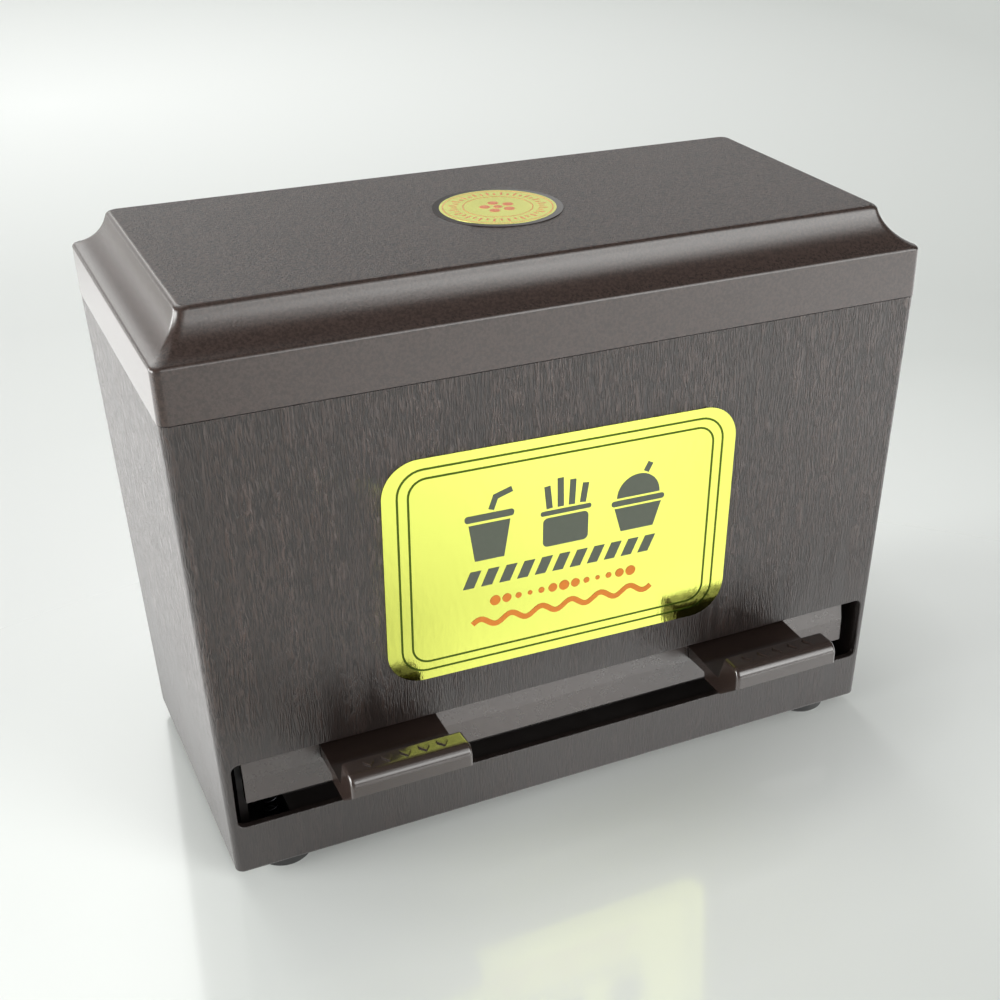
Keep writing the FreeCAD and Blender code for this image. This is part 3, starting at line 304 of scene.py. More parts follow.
def lid_plastic(top):
    """The same plastic: a finely sanded flat top, and a smoother moulding and rim below it."""
    material = new_material(
        "lid_plastic", BROWN, LID_ROUGHNESS[0], Specular_IOR_Level=PLASTIC_SPECULAR
    )
    place = object_place(material)
    sand = noise(material, place, SAND_SCALE, detail=4, roughness=0.75)
    flat = spread(material, height_of(material), top - SAND_EDGE[0], top - SAND_EDGE[1])
    depth = spread(material, flat, 0, 1, SAND_LEAST, 1.0)
    raise_surface(material, math_node(material, "MULTIPLY", sand, depth), SAND_DEPTH)
    feed(material, "Roughness", spread(material, flat, 0, 1, *LID_ROUGHNESS))
    mottle = noise(material, place, SPECKLE_SCALE, detail=3, roughness=0.7)
    reach = spread(material, flat, 0, 1, *SPECKLE_REACH)
    low = math_node(material, "SUBTRACT", 0.5, reach)
    high = math_node(material, "ADD", 0.5, reach)
    tone = spread(material, mottle, *SPECKLE_RANGE, low, high)
    darker, lighter = scaled(BROWN, SPECKLE_DARKER), scaled(BROWN, SPECKLE_LIGHTER)
    feed(material, "Base Color", blend_colours(material, tone, darker, lighter))
    return material


def smooth_plastic(name, colour, roughness, grain=MOULD_GRAIN):
    """Moulded plastic with a faint spark-eroded grain and slightly uneven gloss."""
    material = new_material(name, colour, roughness, Specular_IOR_Level=SMOOTH_SPECULAR)
    place = object_place(material)
    raise_surface(material, noise(material, place, SMOOTH_GRAIN_SCALE), grain, 0.8)
    cloud = noise(material, place, SMOOTH_CLOUD_SCALE, detail=4, roughness=0.7)
    glossier, duller = (roughness + change for change in SMOOTH_ROUGHNESS)
    feed(material, "Roughness", spread(material, cloud, *CLOUD_RANGE, glossier, duller))
    darker = scaled(colour, SMOOTH_DARKER)
    feed(material, "Base Color", blend_colours(material, cloud, darker, colour))
    return material


def film(name, colour, roughness, metal=1.0):
    """Metallised film: a mirror-like sheet that follows the wood grain under it a little."""
    material = new_material(name, colour, roughness, Metallic=metal)
    place = offset_place(material, object_place(material), FILM_WANDER_SCALE, FILM_WANDER)
    long_place = stretch_place(material, place, FILM_WAVE_STRETCH)
    waves = noise(material, long_place, FILM_WAVE_SCALE, detail=3)
    raise_surface(material, waves, FILM_DEPTH, 0.8)
    cloud = noise(material, place, FILM_CLOUD_SCALE)
    duller = spread(material, cloud, *CLOUD_RANGE, roughness, roughness + FILM_ROUGHER)
    feed(material, "Roughness", duller)
    return material


def ink(name, colour, roughness=0.4):
    """Printed ink with a slightly uneven coat."""
    material = new_material(name, colour, roughness)
    cloud = noise(material, object_place(material), INK_CLOUD_SCALE)
    paler = scaled(colour, INK_PALER)
    feed(material, "Base Color", blend_colours(material, cloud, colour, paler))
    raise_surface(material, cloud, INK_DEPTH, 0.4)
    return material


def rubber():
    """Black rubber with a fine grain and a little dust."""
    material = new_material("rubber", RUBBER, 0.62)
    place = object_place(material)
    grain = noise(material, place, RUBBER_GRAIN_SCALE, detail=3)
    raise_surface(material, grain, RUBBER_DEPTH, 0.5)
    cloud = noise(material, place, RUBBER_DUST_SCALE, detail=3)
    dust = spread(material, cloud, *RUBBER_DUST_RANGE)
    feed(material, "Base Color", blend_colours(material, dust, RUBBER, RUBBER_DUSTY))
    return material


def steel(name, roughness, colour=STEEL):
    """Bare or blackened steel with fine scratches."""
    material = new_material(name, colour, roughness, Metallic=1.0)
    scratches = noise(material, object_place(material), SCRATCH_SCALE, detail=3)
    raise_surface(material, scratches, SCRATCH_DEPTH, 0.5)
    glossier, duller = roughness - SCRATCH_ROUGHNESS, roughness + SCRATCH_ROUGHNESS
    feed(material, "Roughness", spread(material, scratches, *CLOUD_RANGE, glossier, duller))
    return material


def clear_film():
    """The clear edge of the badge: glossy, over the lid's own colour."""
    material = new_material("clear_film", BROWN_DEEP, 0.12, Coat_Weight=0.6, Coat_Roughness=0.06)
    waves = noise(material, object_place(material), CLEAR_WAVE_SCALE)
    raise_surface(material, waves, CLEAR_DEPTH, 0.4)
    feed(material, "Base Color", blend_colours(material, waves, BROWN_DEEP, BROWN))
    return material


# ---------------------------------------------------------------- mesh helpers


def mesh_piece(name, body, material, mesh_slot, vertices, faces, smooth=False):
    """A new piece of the visual model, riding on a body."""
    mesh = bpy.data.meshes.new(name)
    mesh.from_pydata([tuple(point) for point in vertices], [], faces)
    mesh.validate()
    piece = bpy.data.objects.new(name, mesh)
    bpy.context.scene.collection.objects.link(piece)
    mesh.materials.append(material)
    for face in mesh.polygons:
        face.use_smooth = smooth
    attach(piece, body)
    return piece


def add_prism(solids, outline, low, high, place):
    """Add an extruded outline, given as 2-D points counter-clockwise, to a list of solids."""
    count = len(outline)
    bottom = [place @ Vector((across, up, low)) for across, up in outline]
    top = [place @ Vector((across, up, high)) for across, up in outline]
    start = len(solids["vertices"])
    solids["vertices"] += bottom + top
    solids["faces"].append([start + count + i for i in range(count)])
    solids["faces"].append([start + i for i in reversed(range(count))])
    for i in range(count):
        after = (i + 1) % count
        wall = [start + i, start + after, start + count + after, start + count + i]
        solids["faces"].append(wall)


def add_ring(solids, outer, inner, low, high, place):
    """Add the extruded band between two outlines with the same number of points."""
    count = len(outer)
    start = len(solids["vertices"])
    for outline, level in ((outer, low), (outer, high), (inner, low), (inner, high)):
        solids["vertices"] += [place @ Vector((across, up, level)) for across, up in outline]
    for i in range(count):
        after = (i + 1) % count
        for first, second, flip in ((0, 1, False), (2, 3, True), (1, 3, False), (0, 2, True)):
            face = [
                start + first * count + i,
                start + first * count + after,
                start + second * count + after,
                start + second * count + i,
            ]
            solids["faces"].append(face[::-1] if flip else face)


# For each corner of a box: its sides in x and y, and the angle at which its arc starts
BOX_CORNERS = ((1, -1, -90), (1, 1, 0), (-1, 1, 90), (-1, -1, 180))


def arc(centre, radius, start, end, steps=8):
    """Points of an arc, from one angle in degrees to another."""
    points = []
    for step in range(steps + 1):
        angle = math.radians(start + (end - start) * step / steps)
        points.append((centre[0] + radius * math.cos(angle), centre[1] + radius * math.sin(angle)))
    return points


def round_box(half_x, half_y, radius, centre=(0, 0), steps=8):
    """Outline of a box with round corners."""
    points = []
    for side_x, side_y, start in BOX_CORNERS:
        middle = (
            centre[0] + side_x * (half_x - radius),
            centre[1] + side_y * (half_y - radius),
        )
        points += arc(middle, radius, start, start + 90, steps)
    return points


def capsule(start, end, radius, steps=8):
    """Outline of a bar with round ends."""
    direction = math.degrees(math.atan2(end[1] - start[1], end[0] - start[0]))
    return arc(end, radius, direction - 90, direction + 90, steps) + arc(
        start, radius, direction + 90, direction + 270, steps
    )


def disc(centre, radius, steps):
    """Outline of a disc, with steps points."""
    return arc(centre, radius, 0, 360 * (steps - 1) / steps, steps - 1)


def millimetres_at(place):
    """A matrix that takes millimetres to metres, from a place in metres."""
    return Matrix.Translation(place) @ Matrix.Diagonal((MM, MM, MM, 1))


def new_solids():
    return {"vertices": [], "faces": []}


# ---------------------------------------------------------------- label print

# Metres in the row frame and degrees; the middle is measured across, and up along the wall
LABEL_MIDDLE = (-4.0 * MM, 104.7 * MM)
LABEL_TILT = 1.1
WALL_FOOT = (-0.0475, 0.005)
WALL_LEAN = math.degrees(math.atan(4.0 / 174.4))

# Everything else in the label's own millimetres, from its middle
LABEL_THICKNESS = 0.25
INK_THICKNESS = 0.04
FRAME_LINE = 0.75
FRAMES = ((61.2, 39.3, 9.6), (57.4, 35.9, 6.8))
PICTOGRAM_ROW = 13
PICTOGRAM_PLACES = (-28.5, 0, 28)
STRAW_ROW = -6.6
DOT_ROW = -16.6
WAVE_ROW = -24.6
JAR_STRAWS = ((-6.3, -1.0, 8.6), (-2.1, -0.3, 11.0), (2.1, 0.3, 9.6), (6.3, 1.0, 7.4))


def label_place():
    """From label millimetres (right, up, out of the wall) to the row frame."""
    lean_angle = math.radians(WALL_LEAN)
    lean = Matrix.Rotation(lean_angle, 4, "X")
    tilt = Matrix.Rotation(math.radians(LABEL_TILT), 4, "Y")
    across, rise = LABEL_MIDDLE
    foot_y, foot_z = WALL_FOOT
    middle = Vector(
        (across, foot_y - rise * math.sin(lean_angle), foot_z + rise * math.cos(lean_angle))
    )
    axes = Matrix(((1, 0, 0, 0), (0, 0, -1, 0), (0, 1, 0, 0), (0, 0, 0, 1)))
    return Matrix.Translation(middle) @ lean @ tilt @ axes @ Matrix.Diagonal((MM, MM, MM, 1))


def print_piece(name, material, place, outlines=(), rings=()):
    """Thin raised print on the label."""
    solids = new_solids()
    low, high = LABEL_THICKNESS, LABEL_THICKNESS + INK_THICKNESS
    for outline in outlines:
        add_prism(solids, outline, low, high, place)
    for outer, inner in rings:
        add_ring(solids, outer, inner, low, high, place)
    mesh_piece(name, "housing", material, "gold_film", solids["vertices"], solids["faces"])


def stroke(points, width):
    """Outline of a line of even width through the points, with square ends."""
    left, right = [], []
    for number, point in enumerate(points):
        before = Vector(points[max(number - 1, 0)])
        after = Vector(points[min(number + 1, len(points) - 1)])
        here = Vector(point)
        first = (here - before).normalized() if number else (after - here).normalized()
        second = (after - here).normalized() if number < len(points) - 1 else first
        along = (first + second).normalized()
        reach = width / 2 / max(0.3, along.dot(first))
        across = Vector((-along.y, along.x)) * reach
        left.append(tuple(here + across))
        right.append(tuple(here - across))
    return right + left[::-1]


def label_frame_lines():
    """Two thin rounded frames, each a band between two outlines."""
    rings = []
    for half_x, half_y, corner in FRAMES:
        outer = round_box(half_x, half_y, corner)
        inner = round_box(half_x - FRAME_LINE, half_y - FRAME_LINE, corner - FRAME_LINE)
        rings.append((outer, inner))
    return rings


def tumbler(x, y):
    """A tapered glass with a flat cover and a bent straw."""
    cup = [(x - 5.4, y - 12.5), (x + 5.4, y - 12.5), (x + 7.6, y + 1.6), (x - 7.6, y + 1.6)]
    cover = round_box(9.0, 1.3, 1.1, (x, y + 4.0))
    straw = stroke([(x + 0.6, y + 6.4), (x + 2.2, y + 11.0), (x + 8.2, y + 12.9)], 2.1)
    return [cup, cover, straw]


def straw_jar(x, y):
    """A jar of straws of different lengths."""
    shapes = [round_box(8.6, 5.6, 1.8, (x, y - 6.9)), round_box(9.6, 0.9, 0.8, (x, y + 0.6))]
    for across, lean, length in JAR_STRAWS:
        low = (x + across, y + 2.4)
        high = (x + across + lean, y + 2.4 + length)
        shapes.append(stroke([low, high], 2.3))
    return shapes


def domed_cup(x, y):
    """A wide cup with a domed cover and a short straw."""
    cup = [(x - 6.4, y - 12.5), (x + 6.4, y - 12.5), (x + 9.2, y - 3.2), (x - 9.2, y - 3.2)]
    band = round_box(10.4, 1.1, 1.0, (x, y - 1.2))
    dome = arc((x, y + 0.8), 8.4, 0, 180, 20)
    straw = stroke([(x + 2.6, y + 9.6), (x + 4.3, y + 12.9)], 2.1)
    return [cup, band, dome, straw]


def striped_straw(x, y, length, radius, count, lean=2.8, stripe=0.6):
    """A straw lying level, drawn as slanted stripes."""
    pitch = length / count
    shapes = []
    for number in range(count):
        left = x - length / 2 + number * pitch
        right = left + pitch * stripe
        low_left, low_right = (left - lean / 2, y - radius), (right - lean / 2, y - radius)
        high_left, high_right = (left + lean / 2, y + radius), (right + lean / 2, y + radius)
        shapes.append([low_left, low_right, high_right, high_left])
    return shapes


def bubbles(x, y, count, pitch, least=0.9, more=1.1):
    """A row of dots that swell and shrink twice."""
    shapes = []
    for number in range(count):
        swell = 0.5 + 0.5 * math.cos(4 * math.pi * number / (count - 1))
        across = (number - (count - 1) / 2) * pitch
        shapes.append(disc((x + across, y), least + more * swell, 24))
    return shapes


def wave_line(x, y, length, height, waves=6, steps=72):
    """Points along a level wave."""
    points = []
    for step in range(steps + 1):
        share = step / steps
        level = height * math.sin(2 * math.pi * waves * share)
        points.append((x + (share - 0.5) * length, y + level))
    return points


def make_label_print():
    """Two frames, three pictograms, a striped straw, a row of dots and a wave."""
    place = label_place()
    line_ink = film("label_line_ink", PRINT_LINE, 0.2)
    grey_ink = ink("label_grey_ink", PRINT_GREY)
    orange_ink = ink("label_orange_ink", PRINT_ORANGE)
    print_piece("label_frame_lines", line_ink, place, rings=label_frame_lines())
    shapes = []
    for draw, x in zip((tumbler, straw_jar, domed_cup), PICTOGRAM_PLACES):
        shapes += draw(x, PICTOGRAM_ROW)
    print_piece("label_pictograms", grey_ink, place, shapes)
    print_piece("label_straw_row", grey_ink, place, striped_straw(0, STRAW_ROW, 74, 3.2, 11))
    print_piece("label_bubbles", orange_ink, place, bubbles(0, DOT_ROW, 13, 4.4))
    print_piece("label_wave", orange_ink, place, [stroke(wave_line(0, WAVE_ROW, 70, 1.5), 2.1)])


# ---------------------------------------------------------------- badge print

# Millimetres from the badge's middle, which is given in the row frame
BADGE_MIDDLE = (0.0, 12.7)
BADGE_RADIUS = 20.4
BADGE_FACE = 0.05
BADGE_INK = 0.03
BADGE_RINGS = ((19.3, 19.0), (12.3, 12.0))
RAY_COUNT = 40
RAY_START = 14.6
RAY_ENDS = (15.8, 17.0)
RAY_RADIUS = 0.38
DOT_COUNT = 5
DOT_RADIUS = 1.9
DOT_CIRCLE = 4.6
MIDDLE_DOT_RADIUS = 1.6


def around(radius, angle):
    """The point at a radius and an angle in degrees."""
    return (radius * math.cos(math.radians(angle)), radius * math.sin(math.radians(angle)))


def make_badge_print():
    """A pale gold face with two rings, a circle of rays and a group of dots."""
    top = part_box("lid_badge")[1].z
    place = millimetres_at((BADGE_MIDDLE[0] * MM, BADGE_MIDDLE[1] * MM, top))
    gold = film("badge_gold", BADGE_GOLD, 0.22, 0.55)
    red_ink = ink("badge_red_ink", PRINT_RED)
    solids = new_solids()
    add_prism(solids, disc((0, 0), BADGE_RADIUS, 96), 0.0, BADGE_FACE, place)
    mesh_piece("badge_face", "cover", gold, "badge_film", solids["vertices"], solids["faces"])
    solids = new_solids()
    low, high = BADGE_FACE, BADGE_FACE + BADGE_INK
    for outer, inner in BADGE_RINGS:
        add_ring(solids, disc((0, 0), outer, 96), disc((0, 0), inner, 96), low, high, place)
    for number in range(RAY_COUNT):
        angle = 360 / RAY_COUNT * number
        near, far = around(RAY_START, angle), around(RAY_ENDS[number % 2], angle)
        add_prism(solids, capsule(near, far, RAY_RADIUS, 5), low, high, place)
    for number in range(DOT_COUNT):
        centre = around(DOT_CIRCLE, 90 + 360 / DOT_COUNT * number)
        add_prism(solids, disc(centre, DOT_RADIUS, 24), low, high, place)
    add_prism(solids, disc((0, 0), MIDDLE_DOT_RADIUS, 24), low, high, place)
    mesh_piece("badge_print", "cover", red_ink, "badge_film", solids["vertices"], solids["faces"])


# ---------------------------------------------------------------- raised marks on the finger pads

# Millimetres; the row's middle is measured from the pad's front edge and the floor
MARK_COUNT = 5
MARK_PITCH = 6.6
MARK_HALF = 1.9
MARK_TIP = 2.0
MARK_SHOULDER = 0.6
MARK_HEIGHT = 0.5
MARK_BACK = 6.6
PAD_TOP = 57.1


def make_pad_marks(material):
    """A row of small raised arrowheads on each pad, pointing the way the finger presses."""
    for side in ("left", "right"):
        low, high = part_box(f"press_lever_{side}")
        middle_x = (low.x + high.x) / 2
        place = millimetres_at((middle_x, low.y + MARK_BACK * MM, PAD_TOP * MM))
        solids = new_solids()
        for number in range(MARK_COUNT):
            across = (number - (MARK_COUNT - 1) / 2) * MARK_PITCH
            chevron = [
                (across - MARK_HALF, MARK_TIP),
                (across - MARK_HALF, MARK_SHOULDER),
                (across, -MARK_TIP),
                (across + MARK_HALF, MARK_SHOULDER),
                (across + MARK_HALF, MARK_TIP),
                (across, -MARK_SHOULDER),
            ]
            add_prism(solids, chevron, 0.0, MARK_HEIGHT, place)
        name, shapes = f"pad_marks_{side}", (solids["vertices"], solids["faces"])
        mesh_piece(name, "rocker", material, "lever_plastic", *shapes)


# ---------------------------------------------------------------- lid

# The lid's cross-section in millimetres and degrees. The hollow moulding is an arc about a centre
# outside the lid and above it.
COVE_RADIUS = 17.1
COVE_OUT = 5.35
COVE_UP = 2.825
COVE_STEPS = 18
RIM_EDGE_RADIUS = 1.6
TOP_EDGE_RADIUS = 2.2
EDGE_STEPS = 8
LID_WALL = 2.5
LID_CORNER = 3.0
LIP_CORNER = 1.5
LIP_DROP = 8.0
LIP_RISE = 4.0
LIP_OUTSIDE, LIP_INSIDE = 3.3, 4.9
PARTING_GAP = 0.35
PARTING_DEPTH = 1.0
INNER_START, INNER_END = 25, 72
FLAT_MARGIN = 0.6
SHARP_ANGLE = 35


def lid_section(low, top):
    """Points (inset, level, corner radius), from the ceiling inside, round the lip, to the top."""
    level = top + COVE_UP
    centre = (-COVE_OUT, level)
    seat = low + LIP_DROP
    inner = arc(centre, COVE_RADIUS + LID_WALL, INNER_END - 90, INNER_START - 90, COVE_STEPS)
    inside = [(inner[0][0] + FLAT_MARGIN, inner[0][1])] + inner
    inside.append((inner[-1][0], seat + LIP_RISE))
    lip = [(LIP_INSIDE, seat + LIP_RISE), (LIP_INSIDE, low)]
    lip += [(LIP_OUTSIDE, low), (LIP_OUTSIDE, seat)]

    rim_reach = COVE_RADIUS + RIM_EDGE_RADIUS
    start = math.degrees(math.asin((COVE_OUT + RIM_EDGE_RADIUS) / rim_reach))
    rim_level = level - rim_reach * math.cos(math.radians(start))
    top_reach = COVE_RADIUS + TOP_EDGE_RADIUS
    end = math.degrees(math.acos((COVE_UP + TOP_EDGE_RADIUS) / top_reach))
    top_inset = top_reach * math.sin(math.radians(end)) - COVE_OUT

    foot = seat + PARTING_GAP
    outside = [(PARTING_DEPTH, seat), (PARTING_DEPTH, foot), (0, foot)]
    outside += [(0, foot + FLAT_MARGIN), (0, rim_level - FLAT_MARGIN)]
    outside += arc((RIM_EDGE_RADIUS, rim_level), RIM_EDGE_RADIUS, 180, 90 + start, EDGE_STEPS)
    outside += arc(centre, COVE_RADIUS, start - 90, end - 90, COVE_STEPS)[1:]
    top_centre = (top_inset, top - TOP_EDGE_RADIUS)
    outside += arc(top_centre, TOP_EDGE_RADIUS, 90 + end, 90, EDGE_STEPS)[1:]
    outside.append((top_inset + FLAT_MARGIN, top))

    corners = ((inside, LID_CORNER), (lip, LIP_CORNER), (outside, LID_CORNER))
    return [(*point, corner) for points, corner in corners for point in points]


def lid_outline(half_x, half_y, radius):
    """A rounded box with a short straight piece each side of its corners, to keep faces flat."""
    points = []
    for side_x, side_y, start in BOX_CORNERS:
        middle = (side_x * (half_x - radius), side_y * (half_y - radius))
        bend = arc(middle, radius, start, start + 90)
        along = math.radians(start + 90)
        before = (math.cos(along) * FLAT_MARGIN, math.sin(along) * FLAT_MARGIN)
        points.append((bend[0][0] - before[0], bend[0][1] - before[1]))
        points += bend
        points.append((bend[-1][0] - before[1], bend[-1][1] + before[0]))
    return points


def make_lid(material):
    """The lid, with its hollow moulding and a broad rounded edge round the flat top."""
    low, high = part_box("lid")
    middle_x, middle_y = (low.x + high.x) / 2, (low.y + high.y) / 2
    half_x, half_y = (high.x - low.x) / 2 / MM, (high.y - low.y) / 2 / MM
    vertices, faces = [], []
    sections = lid_section(low.z / MM, high.z / MM)
    for inset, level, radius in sections:
        outline = lid_outline(half_x - inset, half_y - inset, radius)
        vertices += [(middle_x + x * MM, middle_y + y * MM, level * MM) for x, y in outline]
    count = len(outline)
    for section in range(len(sections) - 1):
        here, there = section * count, (section + 1) * count
        for i in range(count):
            after = (i + 1) % count
            faces.append([here + i, here + after, there + after, there + i])
    faces.append(list(reversed(range(count))))
    faces.append([len(vertices) - count + i for i in range(count)])
    piece = mesh_piece("lid_shell", "cover", material, "lid_plastic", vertices, faces, True)
    piece.data.set_sharp_from_angle(angle=math.radians(SHARP_ANGLE))
    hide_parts("lid")


# ---------------------------------------------------------------- springs

COIL_TURNS = 9
COIL_STEPS = 28
WIRE_SIDES = 10
COIL_RADIUS = 2.4 * MM
WIRE_RADIUS = 0.4 * MM
END_TURN_RISE = 0.9 * MM
SPRING_X = 113 * MM
SPRING_Y = -32.3 * MM
SPRING_BOTTOM, SPRING_TOP = 11 * MM, 41 * MM


def coil_level(share):
    """Height of the wire's middle at a share of its length; the two end turns are closed."""
    end = 1 / COIL_TURNS
    in_ends = min(share, end) + max(0, share - 1 + end)
    settled = min(1, max(0, (share - end) / (1 - 2 * end)))
    open_height = SPRING_TOP - SPRING_BOTTOM - 2 * WIRE_RADIUS - 2 * END_TURN_RISE
    closed = in_ends * END_TURN_RISE * COIL_TURNS
    return SPRING_BOTTOM + WIRE_RADIUS + closed + settled * open_height


def make_springs(material):
    """Coils that stand under the bar, at one fixed length; the real ones shorten as the levers go
    down.
    """
    for side, sign in (("left", -1), ("right", 1)):
        centre = Vector((sign * SPRING_X, SPRING_Y, 0))
        count = COIL_TURNS * COIL_STEPS
        vertices, faces = [], []
        for step in range(count + 1):
            angle = 2 * math.pi * step / COIL_STEPS
            outward = Vector((math.cos(angle), math.sin(angle), 0))
            middle = centre + outward * COIL_RADIUS + Vector((0, 0, coil_level(step / count)))
            for side_step in range(WIRE_SIDES):
                turn = 2 * math.pi * side_step / WIRE_SIDES
                offset = outward * (math.cos(turn) * WIRE_RADIUS)
                offset.z = math.sin(turn) * WIRE_RADIUS
                vertices.append(middle + offset)
        for step in range(count):
            for side_step in range(WIRE_SIDES):
                after = (side_step + 1) % WIRE_SIDES
                here, there = step * WIRE_SIDES, (step + 1) * WIRE_SIDES
                faces.append([here + side_step, there + side_step, there + after, here + after])
        faces.append(list(range(WIRE_SIDES)))
        faces.append([count * WIRE_SIDES + i for i in reversed(range(WIRE_SIDES))])
        name = f"coil_{side}"
        piece = mesh_piece(name, "housing", material, "spring_steel", vertices, faces, True)
        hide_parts(f"return_spring_{side}")
        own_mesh(piece)


# ---------------------------------------------------------------- carried-over nodes


def dress(names, material):
    """Give CAD nodes a material; their shapes stay as they are."""
    for name in names:
        data = NODES[name].data
        data.materials.clear()
        data.materials.append(material)


def dress_nodes():
    """Dress every CAD node that no piece replaces, and give back the levers' material."""
    lever_plastic = smooth_plastic("lever_plastic", BROWN, 0.2, FINE_GRAIN)
    dress(["body_shell"], grained_plastic())
    dress(["lid_badge"], clear_film())
    dress(["front_label"], film("gold_film", GOLD, 0.08))
    dress(["press_lever_left", "press_lever_right"], lever_plastic)
    dress(["press_bar", "feed_sector"], smooth_plastic("rocker_plastic", BROWN, 0.28, FINE_GRAIN))
    inner = ["side_frame_left", "side_frame_right", "hopper_ramp", "hopper_baffle", "straw_tray"]
    dress(inner, smooth_plastic("inner_plastic", BROWN_INNER, 0.5))
    feet = [f"foot_{end}_{side}" for end in ("front", "rear") for side in ("left", "right")]
    dress(feet + ["stop_bumper_left", "stop_bumper_right"], rubber())
    screws = ["foot_screws", "base_screws", "baffle_screws", "lever_screws", "sector_screws"]
    dress(screws, steel("screw_steel", 0.34))
    pins = [f"{kind}_{side}" for kind in ("pivot_pin", "pin_clip") for side in ("left", "right")]
    dress(pins, steel("pin_steel", 0.24))
    dress(["pivot_bush_left", "pivot_bush_right"], smooth_plastic("bush_plastic", ACETAL, 0.45))
    return lever_plastic


# ---------------------------------------------------------------- floor, light and world

# Metres. The floor's colour darkens away from a place in front of the object, as painted shade,
# and its gloss dulls away from the same place.
FLOOR_RADIUS = 6.0
FLOOR_SPECULAR = 0.75
FLOOR_COLOUR = (0.74, 0.765, 0.74)
FLOOR_PAINTED_SHADE_FAR = (0.54, 0.56, 0.54)
FLOOR_NEAR_PLACE = (-0.05, -0.25, 0)
FLOOR_PAINTED_SHADE_FADE = (0.25, 0.8)
FLOOR_GLOSS_FADE = (0.25, 0.9)
FLOOR_ROUGHNESS = (0.1, 0.7)

# What the camera sees added to the floor, where 1 is white: more behind the object, and a soft
# wide ring about the object, without its left side
GLOW = 0.04
GLOW_BACK = 0.36
GLOW_BACK_PLACE = (0.0, 1.2, 0)
GLOW_BACK_REACH = 1.1
GLOW_ROUND = 0.12
GLOW_ROUND_PLACE = (0.0, 0.013, 0)
GLOW_ROUND_STRETCH = (0.65, 1, 1)
GLOW_ROUND_RISE = (0.08, 0.14)
GLOW_ROUND_FALL = (0.18, 0.36)
GLOW_ROUND_LEFT = (-0.2, -0.05)

# What glossy surfaces see added to the floor, where 1 is white: more towards the right, more in a
# strip along the object's front, and more behind it at the left
MIRRORED_LEFT = 0.1
MIRRORED = 0.64
MIRRORED_RISE = (-0.07, 0.0)
MIRRORED_RIGHT = 1.8
MIRRORED_RIGHT_RISE = (0.25, 0.42)
MIRRORED_CLOSE = 0.5
MIRRORED_CLOSE_RISE, MIRRORED_CLOSE_FALL = (-0.18, -0.11), (-0.07, 0.0)
MIRRORED_BACK = 1.5
MIRRORED_BACK_RISE, MIRRORED_BACK_FALL = (-0.08, 0.02), (0.6, 0.9)
MIRRORED_BACK_LEFT = (-0.2, -0.1)

SKY_COLOUR = (0.99, 1.0, 0.985)
SKY_LEVEL = 0.12
SKY_SEEN = 0.78
SKY_EDGE = 0.25
# Soft bright parts of the room: direction (degrees round to the right from straight in front),
# height and radius in degrees, and brightness, where 1 is white
SKY_PATCHES = {
    "left_back_low": (226, 2, 14, 10.5),
    "left_low": (264, 8, 20, 13.0),
    "back_high": (180, 30, 18, 3.1),
    "back_top": (200, 60, 20, 0.8),
    "right_back": (135, 8, 22, 0.75),
    "back_low": (196, 2, 11, 1.2),
    "right_front_low": (46, 5, 13, 5.5),
    "right_front_high": (36, 22, 14, 3.7),
    "right_front_top": (32, 40, 10, 3.2),
    "front_low": (18, 20, 13, 4.2),
    "front_high": (352, 33, 14, 1.0),
}


def soft_window(material, place, rise, fall):
    """1 between two places along a line, and 0 outside them, with soft ends."""
    up = spread(material, place, *rise)
    return math_node(material, "MULTIPLY", up, spread(material, place, *fall, 1.0, 0.0))


def seen_glow(material, place, across):
    """The light that the camera sees added to the floor."""
    away = distance(material, place, GLOW_BACK_PLACE)
    back = spread(material, away, 0.0, GLOW_BACK_REACH, GLOW_BACK, GLOW)
    stretched = stretch_place(material, place, GLOW_ROUND_STRETCH)
    away = distance(material, stretched, GLOW_ROUND_PLACE)
    band = soft_window(material, away, GLOW_ROUND_RISE, GLOW_ROUND_FALL)
    side = spread(material, across, *GLOW_ROUND_LEFT, 0.0, GLOW_ROUND)
    return math_node(material, "ADD", back, math_node(material, "MULTIPLY", band, side))


def mirrored_glow(material, across, behind):
    """The light that glossy surfaces see added to the floor."""
    glow = spread(material, across, *MIRRORED_RISE, MIRRORED_LEFT, MIRRORED)
    more = MIRRORED_RIGHT - MIRRORED
    right = spread(material, across, *MIRRORED_RIGHT_RISE, 0.0, more)
    glow = math_node(material, "ADD", glow, right)
    close = soft_window(material, behind, MIRRORED_CLOSE_RISE, MIRRORED_CLOSE_FALL)
    close = math_node(material, "MULTIPLY", close, MIRRORED_CLOSE)
    glow = math_node(material, "ADD", glow, close)
    back = soft_window(material, behind, MIRRORED_BACK_RISE, MIRRORED_BACK_FALL)
    left = spread(material, across, *MIRRORED_BACK_LEFT, MIRRORED_BACK, 0.0)
    return math_node(material, "ADD", glow, math_node(material, "MULTIPLY", back, left))


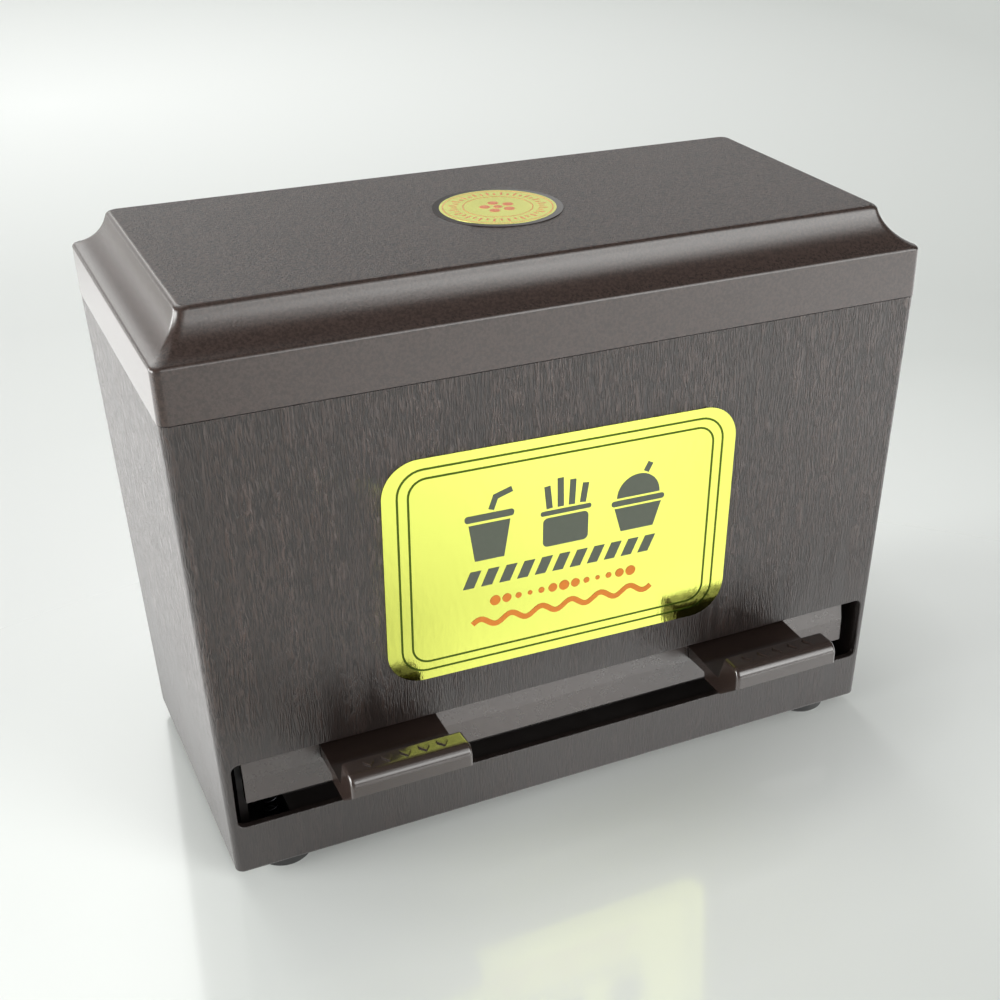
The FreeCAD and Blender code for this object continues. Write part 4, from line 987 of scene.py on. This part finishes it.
def make_floor():
    """A pale floor that keeps the object's shadow."""
    mesh = bpy.data.meshes.new("floor")
    build = bmesh.new()
    bmesh.ops.create_circle(build, cap_ends=True, segments=96, radius=FLOOR_RADIUS)
    build.to_mesh(mesh)
    build.free()
    floor = bpy.data.objects.new("floor", mesh)
    bpy.context.scene.collection.objects.link(floor)
    material = new_material(
        "floor", FLOOR_COLOUR, FLOOR_ROUGHNESS[0], Specular_IOR_Level=FLOOR_SPECULAR
    )
    place = object_place(material)
    # Painted shade: the floor's colour darkens away from FLOOR_NEAR_PLACE
    away = distance(material, place, FLOOR_NEAR_PLACE)
    fade = spread(material, away, *FLOOR_PAINTED_SHADE_FADE)
    feed(material, "Base Color", blend_colours(material, fade, FLOOR_COLOUR, FLOOR_PAINTED_SHADE_FAR))
    feed(material, "Roughness", spread(material, away, *FLOOR_GLOSS_FADE, *FLOOR_ROUGHNESS))
    split = add_node(material, "ShaderNodeSeparateXYZ", {"Vector": place}).outputs
    across, behind = split["X"], split["Y"]
    rays = add_node(material, "ShaderNodeLightPath").outputs
    seen = seen_glow(material, place, across)
    seen = math_node(material, "MULTIPLY", rays["Is Camera Ray"], seen)
    bounced = math_node(material, "MAXIMUM", rays["Is Glossy Ray"], rays["Is Transmission Ray"])
    mirrored = mirrored_glow(material, across, behind)
    mirrored = math_node(material, "MULTIPLY", bounced, mirrored)
    shader_of(material).inputs["Emission Color"].default_value = (1, 1, 1, 1)
    feed(material, "Emission Strength", math_node(material, "ADD", seen, mirrored))
    mesh.materials.append(material)


def make_world():
    """A dim even sky with soft bright patches, which the camera itself sees as plain and pale."""
    world = bpy.data.worlds.new("world")
    world.use_nodes = True
    back = world.node_tree.nodes["Background"]
    back.inputs["Color"].default_value = (*SKY_COLOUR, 1)
    direction = add_node(world, "ShaderNodeTexCoord").outputs["Generated"]
    level = SKY_LEVEL
    for name, (azimuth, elevation, radius, brightness) in SKY_PATCHES.items():
        turn, rise = math.radians(azimuth), math.radians(elevation)
        across = math.cos(rise)
        middle = (math.sin(turn) * across, -math.cos(turn) * across, math.sin(rise))
        inputs = {0: direction, 1: middle}
        nearness = add_node(world, "ShaderNodeVectorMath", inputs, operation="DOT_PRODUCT")
        inputs = {
            "Value": nearness.outputs["Value"],
            "From Min": math.cos(math.radians(radius * (1 + SKY_EDGE))),
            "From Max": math.cos(math.radians(radius * (1 - SKY_EDGE))),
            "To Max": brightness,
        }
        patch = add_node(world, "ShaderNodeMapRange", inputs, interpolation_type="SMOOTHSTEP")
        patch.name = name
        level = math_node(world, "ADD", level, patch.outputs["Result"])
    rays = add_node(world, "ShaderNodeLightPath").outputs
    unseen = math_node(world, "SUBTRACT", 1, rays["Is Camera Ray"])
    level = math_node(world, "MULTIPLY", level, unseen)
    seen = math_node(world, "MULTIPLY", rays["Is Camera Ray"], SKY_SEEN)
    level = math_node(world, "ADD", level, seen)
    world.node_tree.links.new(level, back.inputs["Strength"])
    bpy.context.scene.world = world


# ---------------------------------------------------------------- build

make_camera()
make_floor()
make_world()
lever_plastic = dress_nodes()
make_label_print()
make_badge_print()
make_pad_marks(lever_plastic)
make_lid(lid_plastic(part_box("lid")[1].z))
make_springs(steel("spring_steel", 0.42, colour=SPRING_BLACK))

scene = bpy.context.scene
scene.view_settings.view_transform = "Standard"
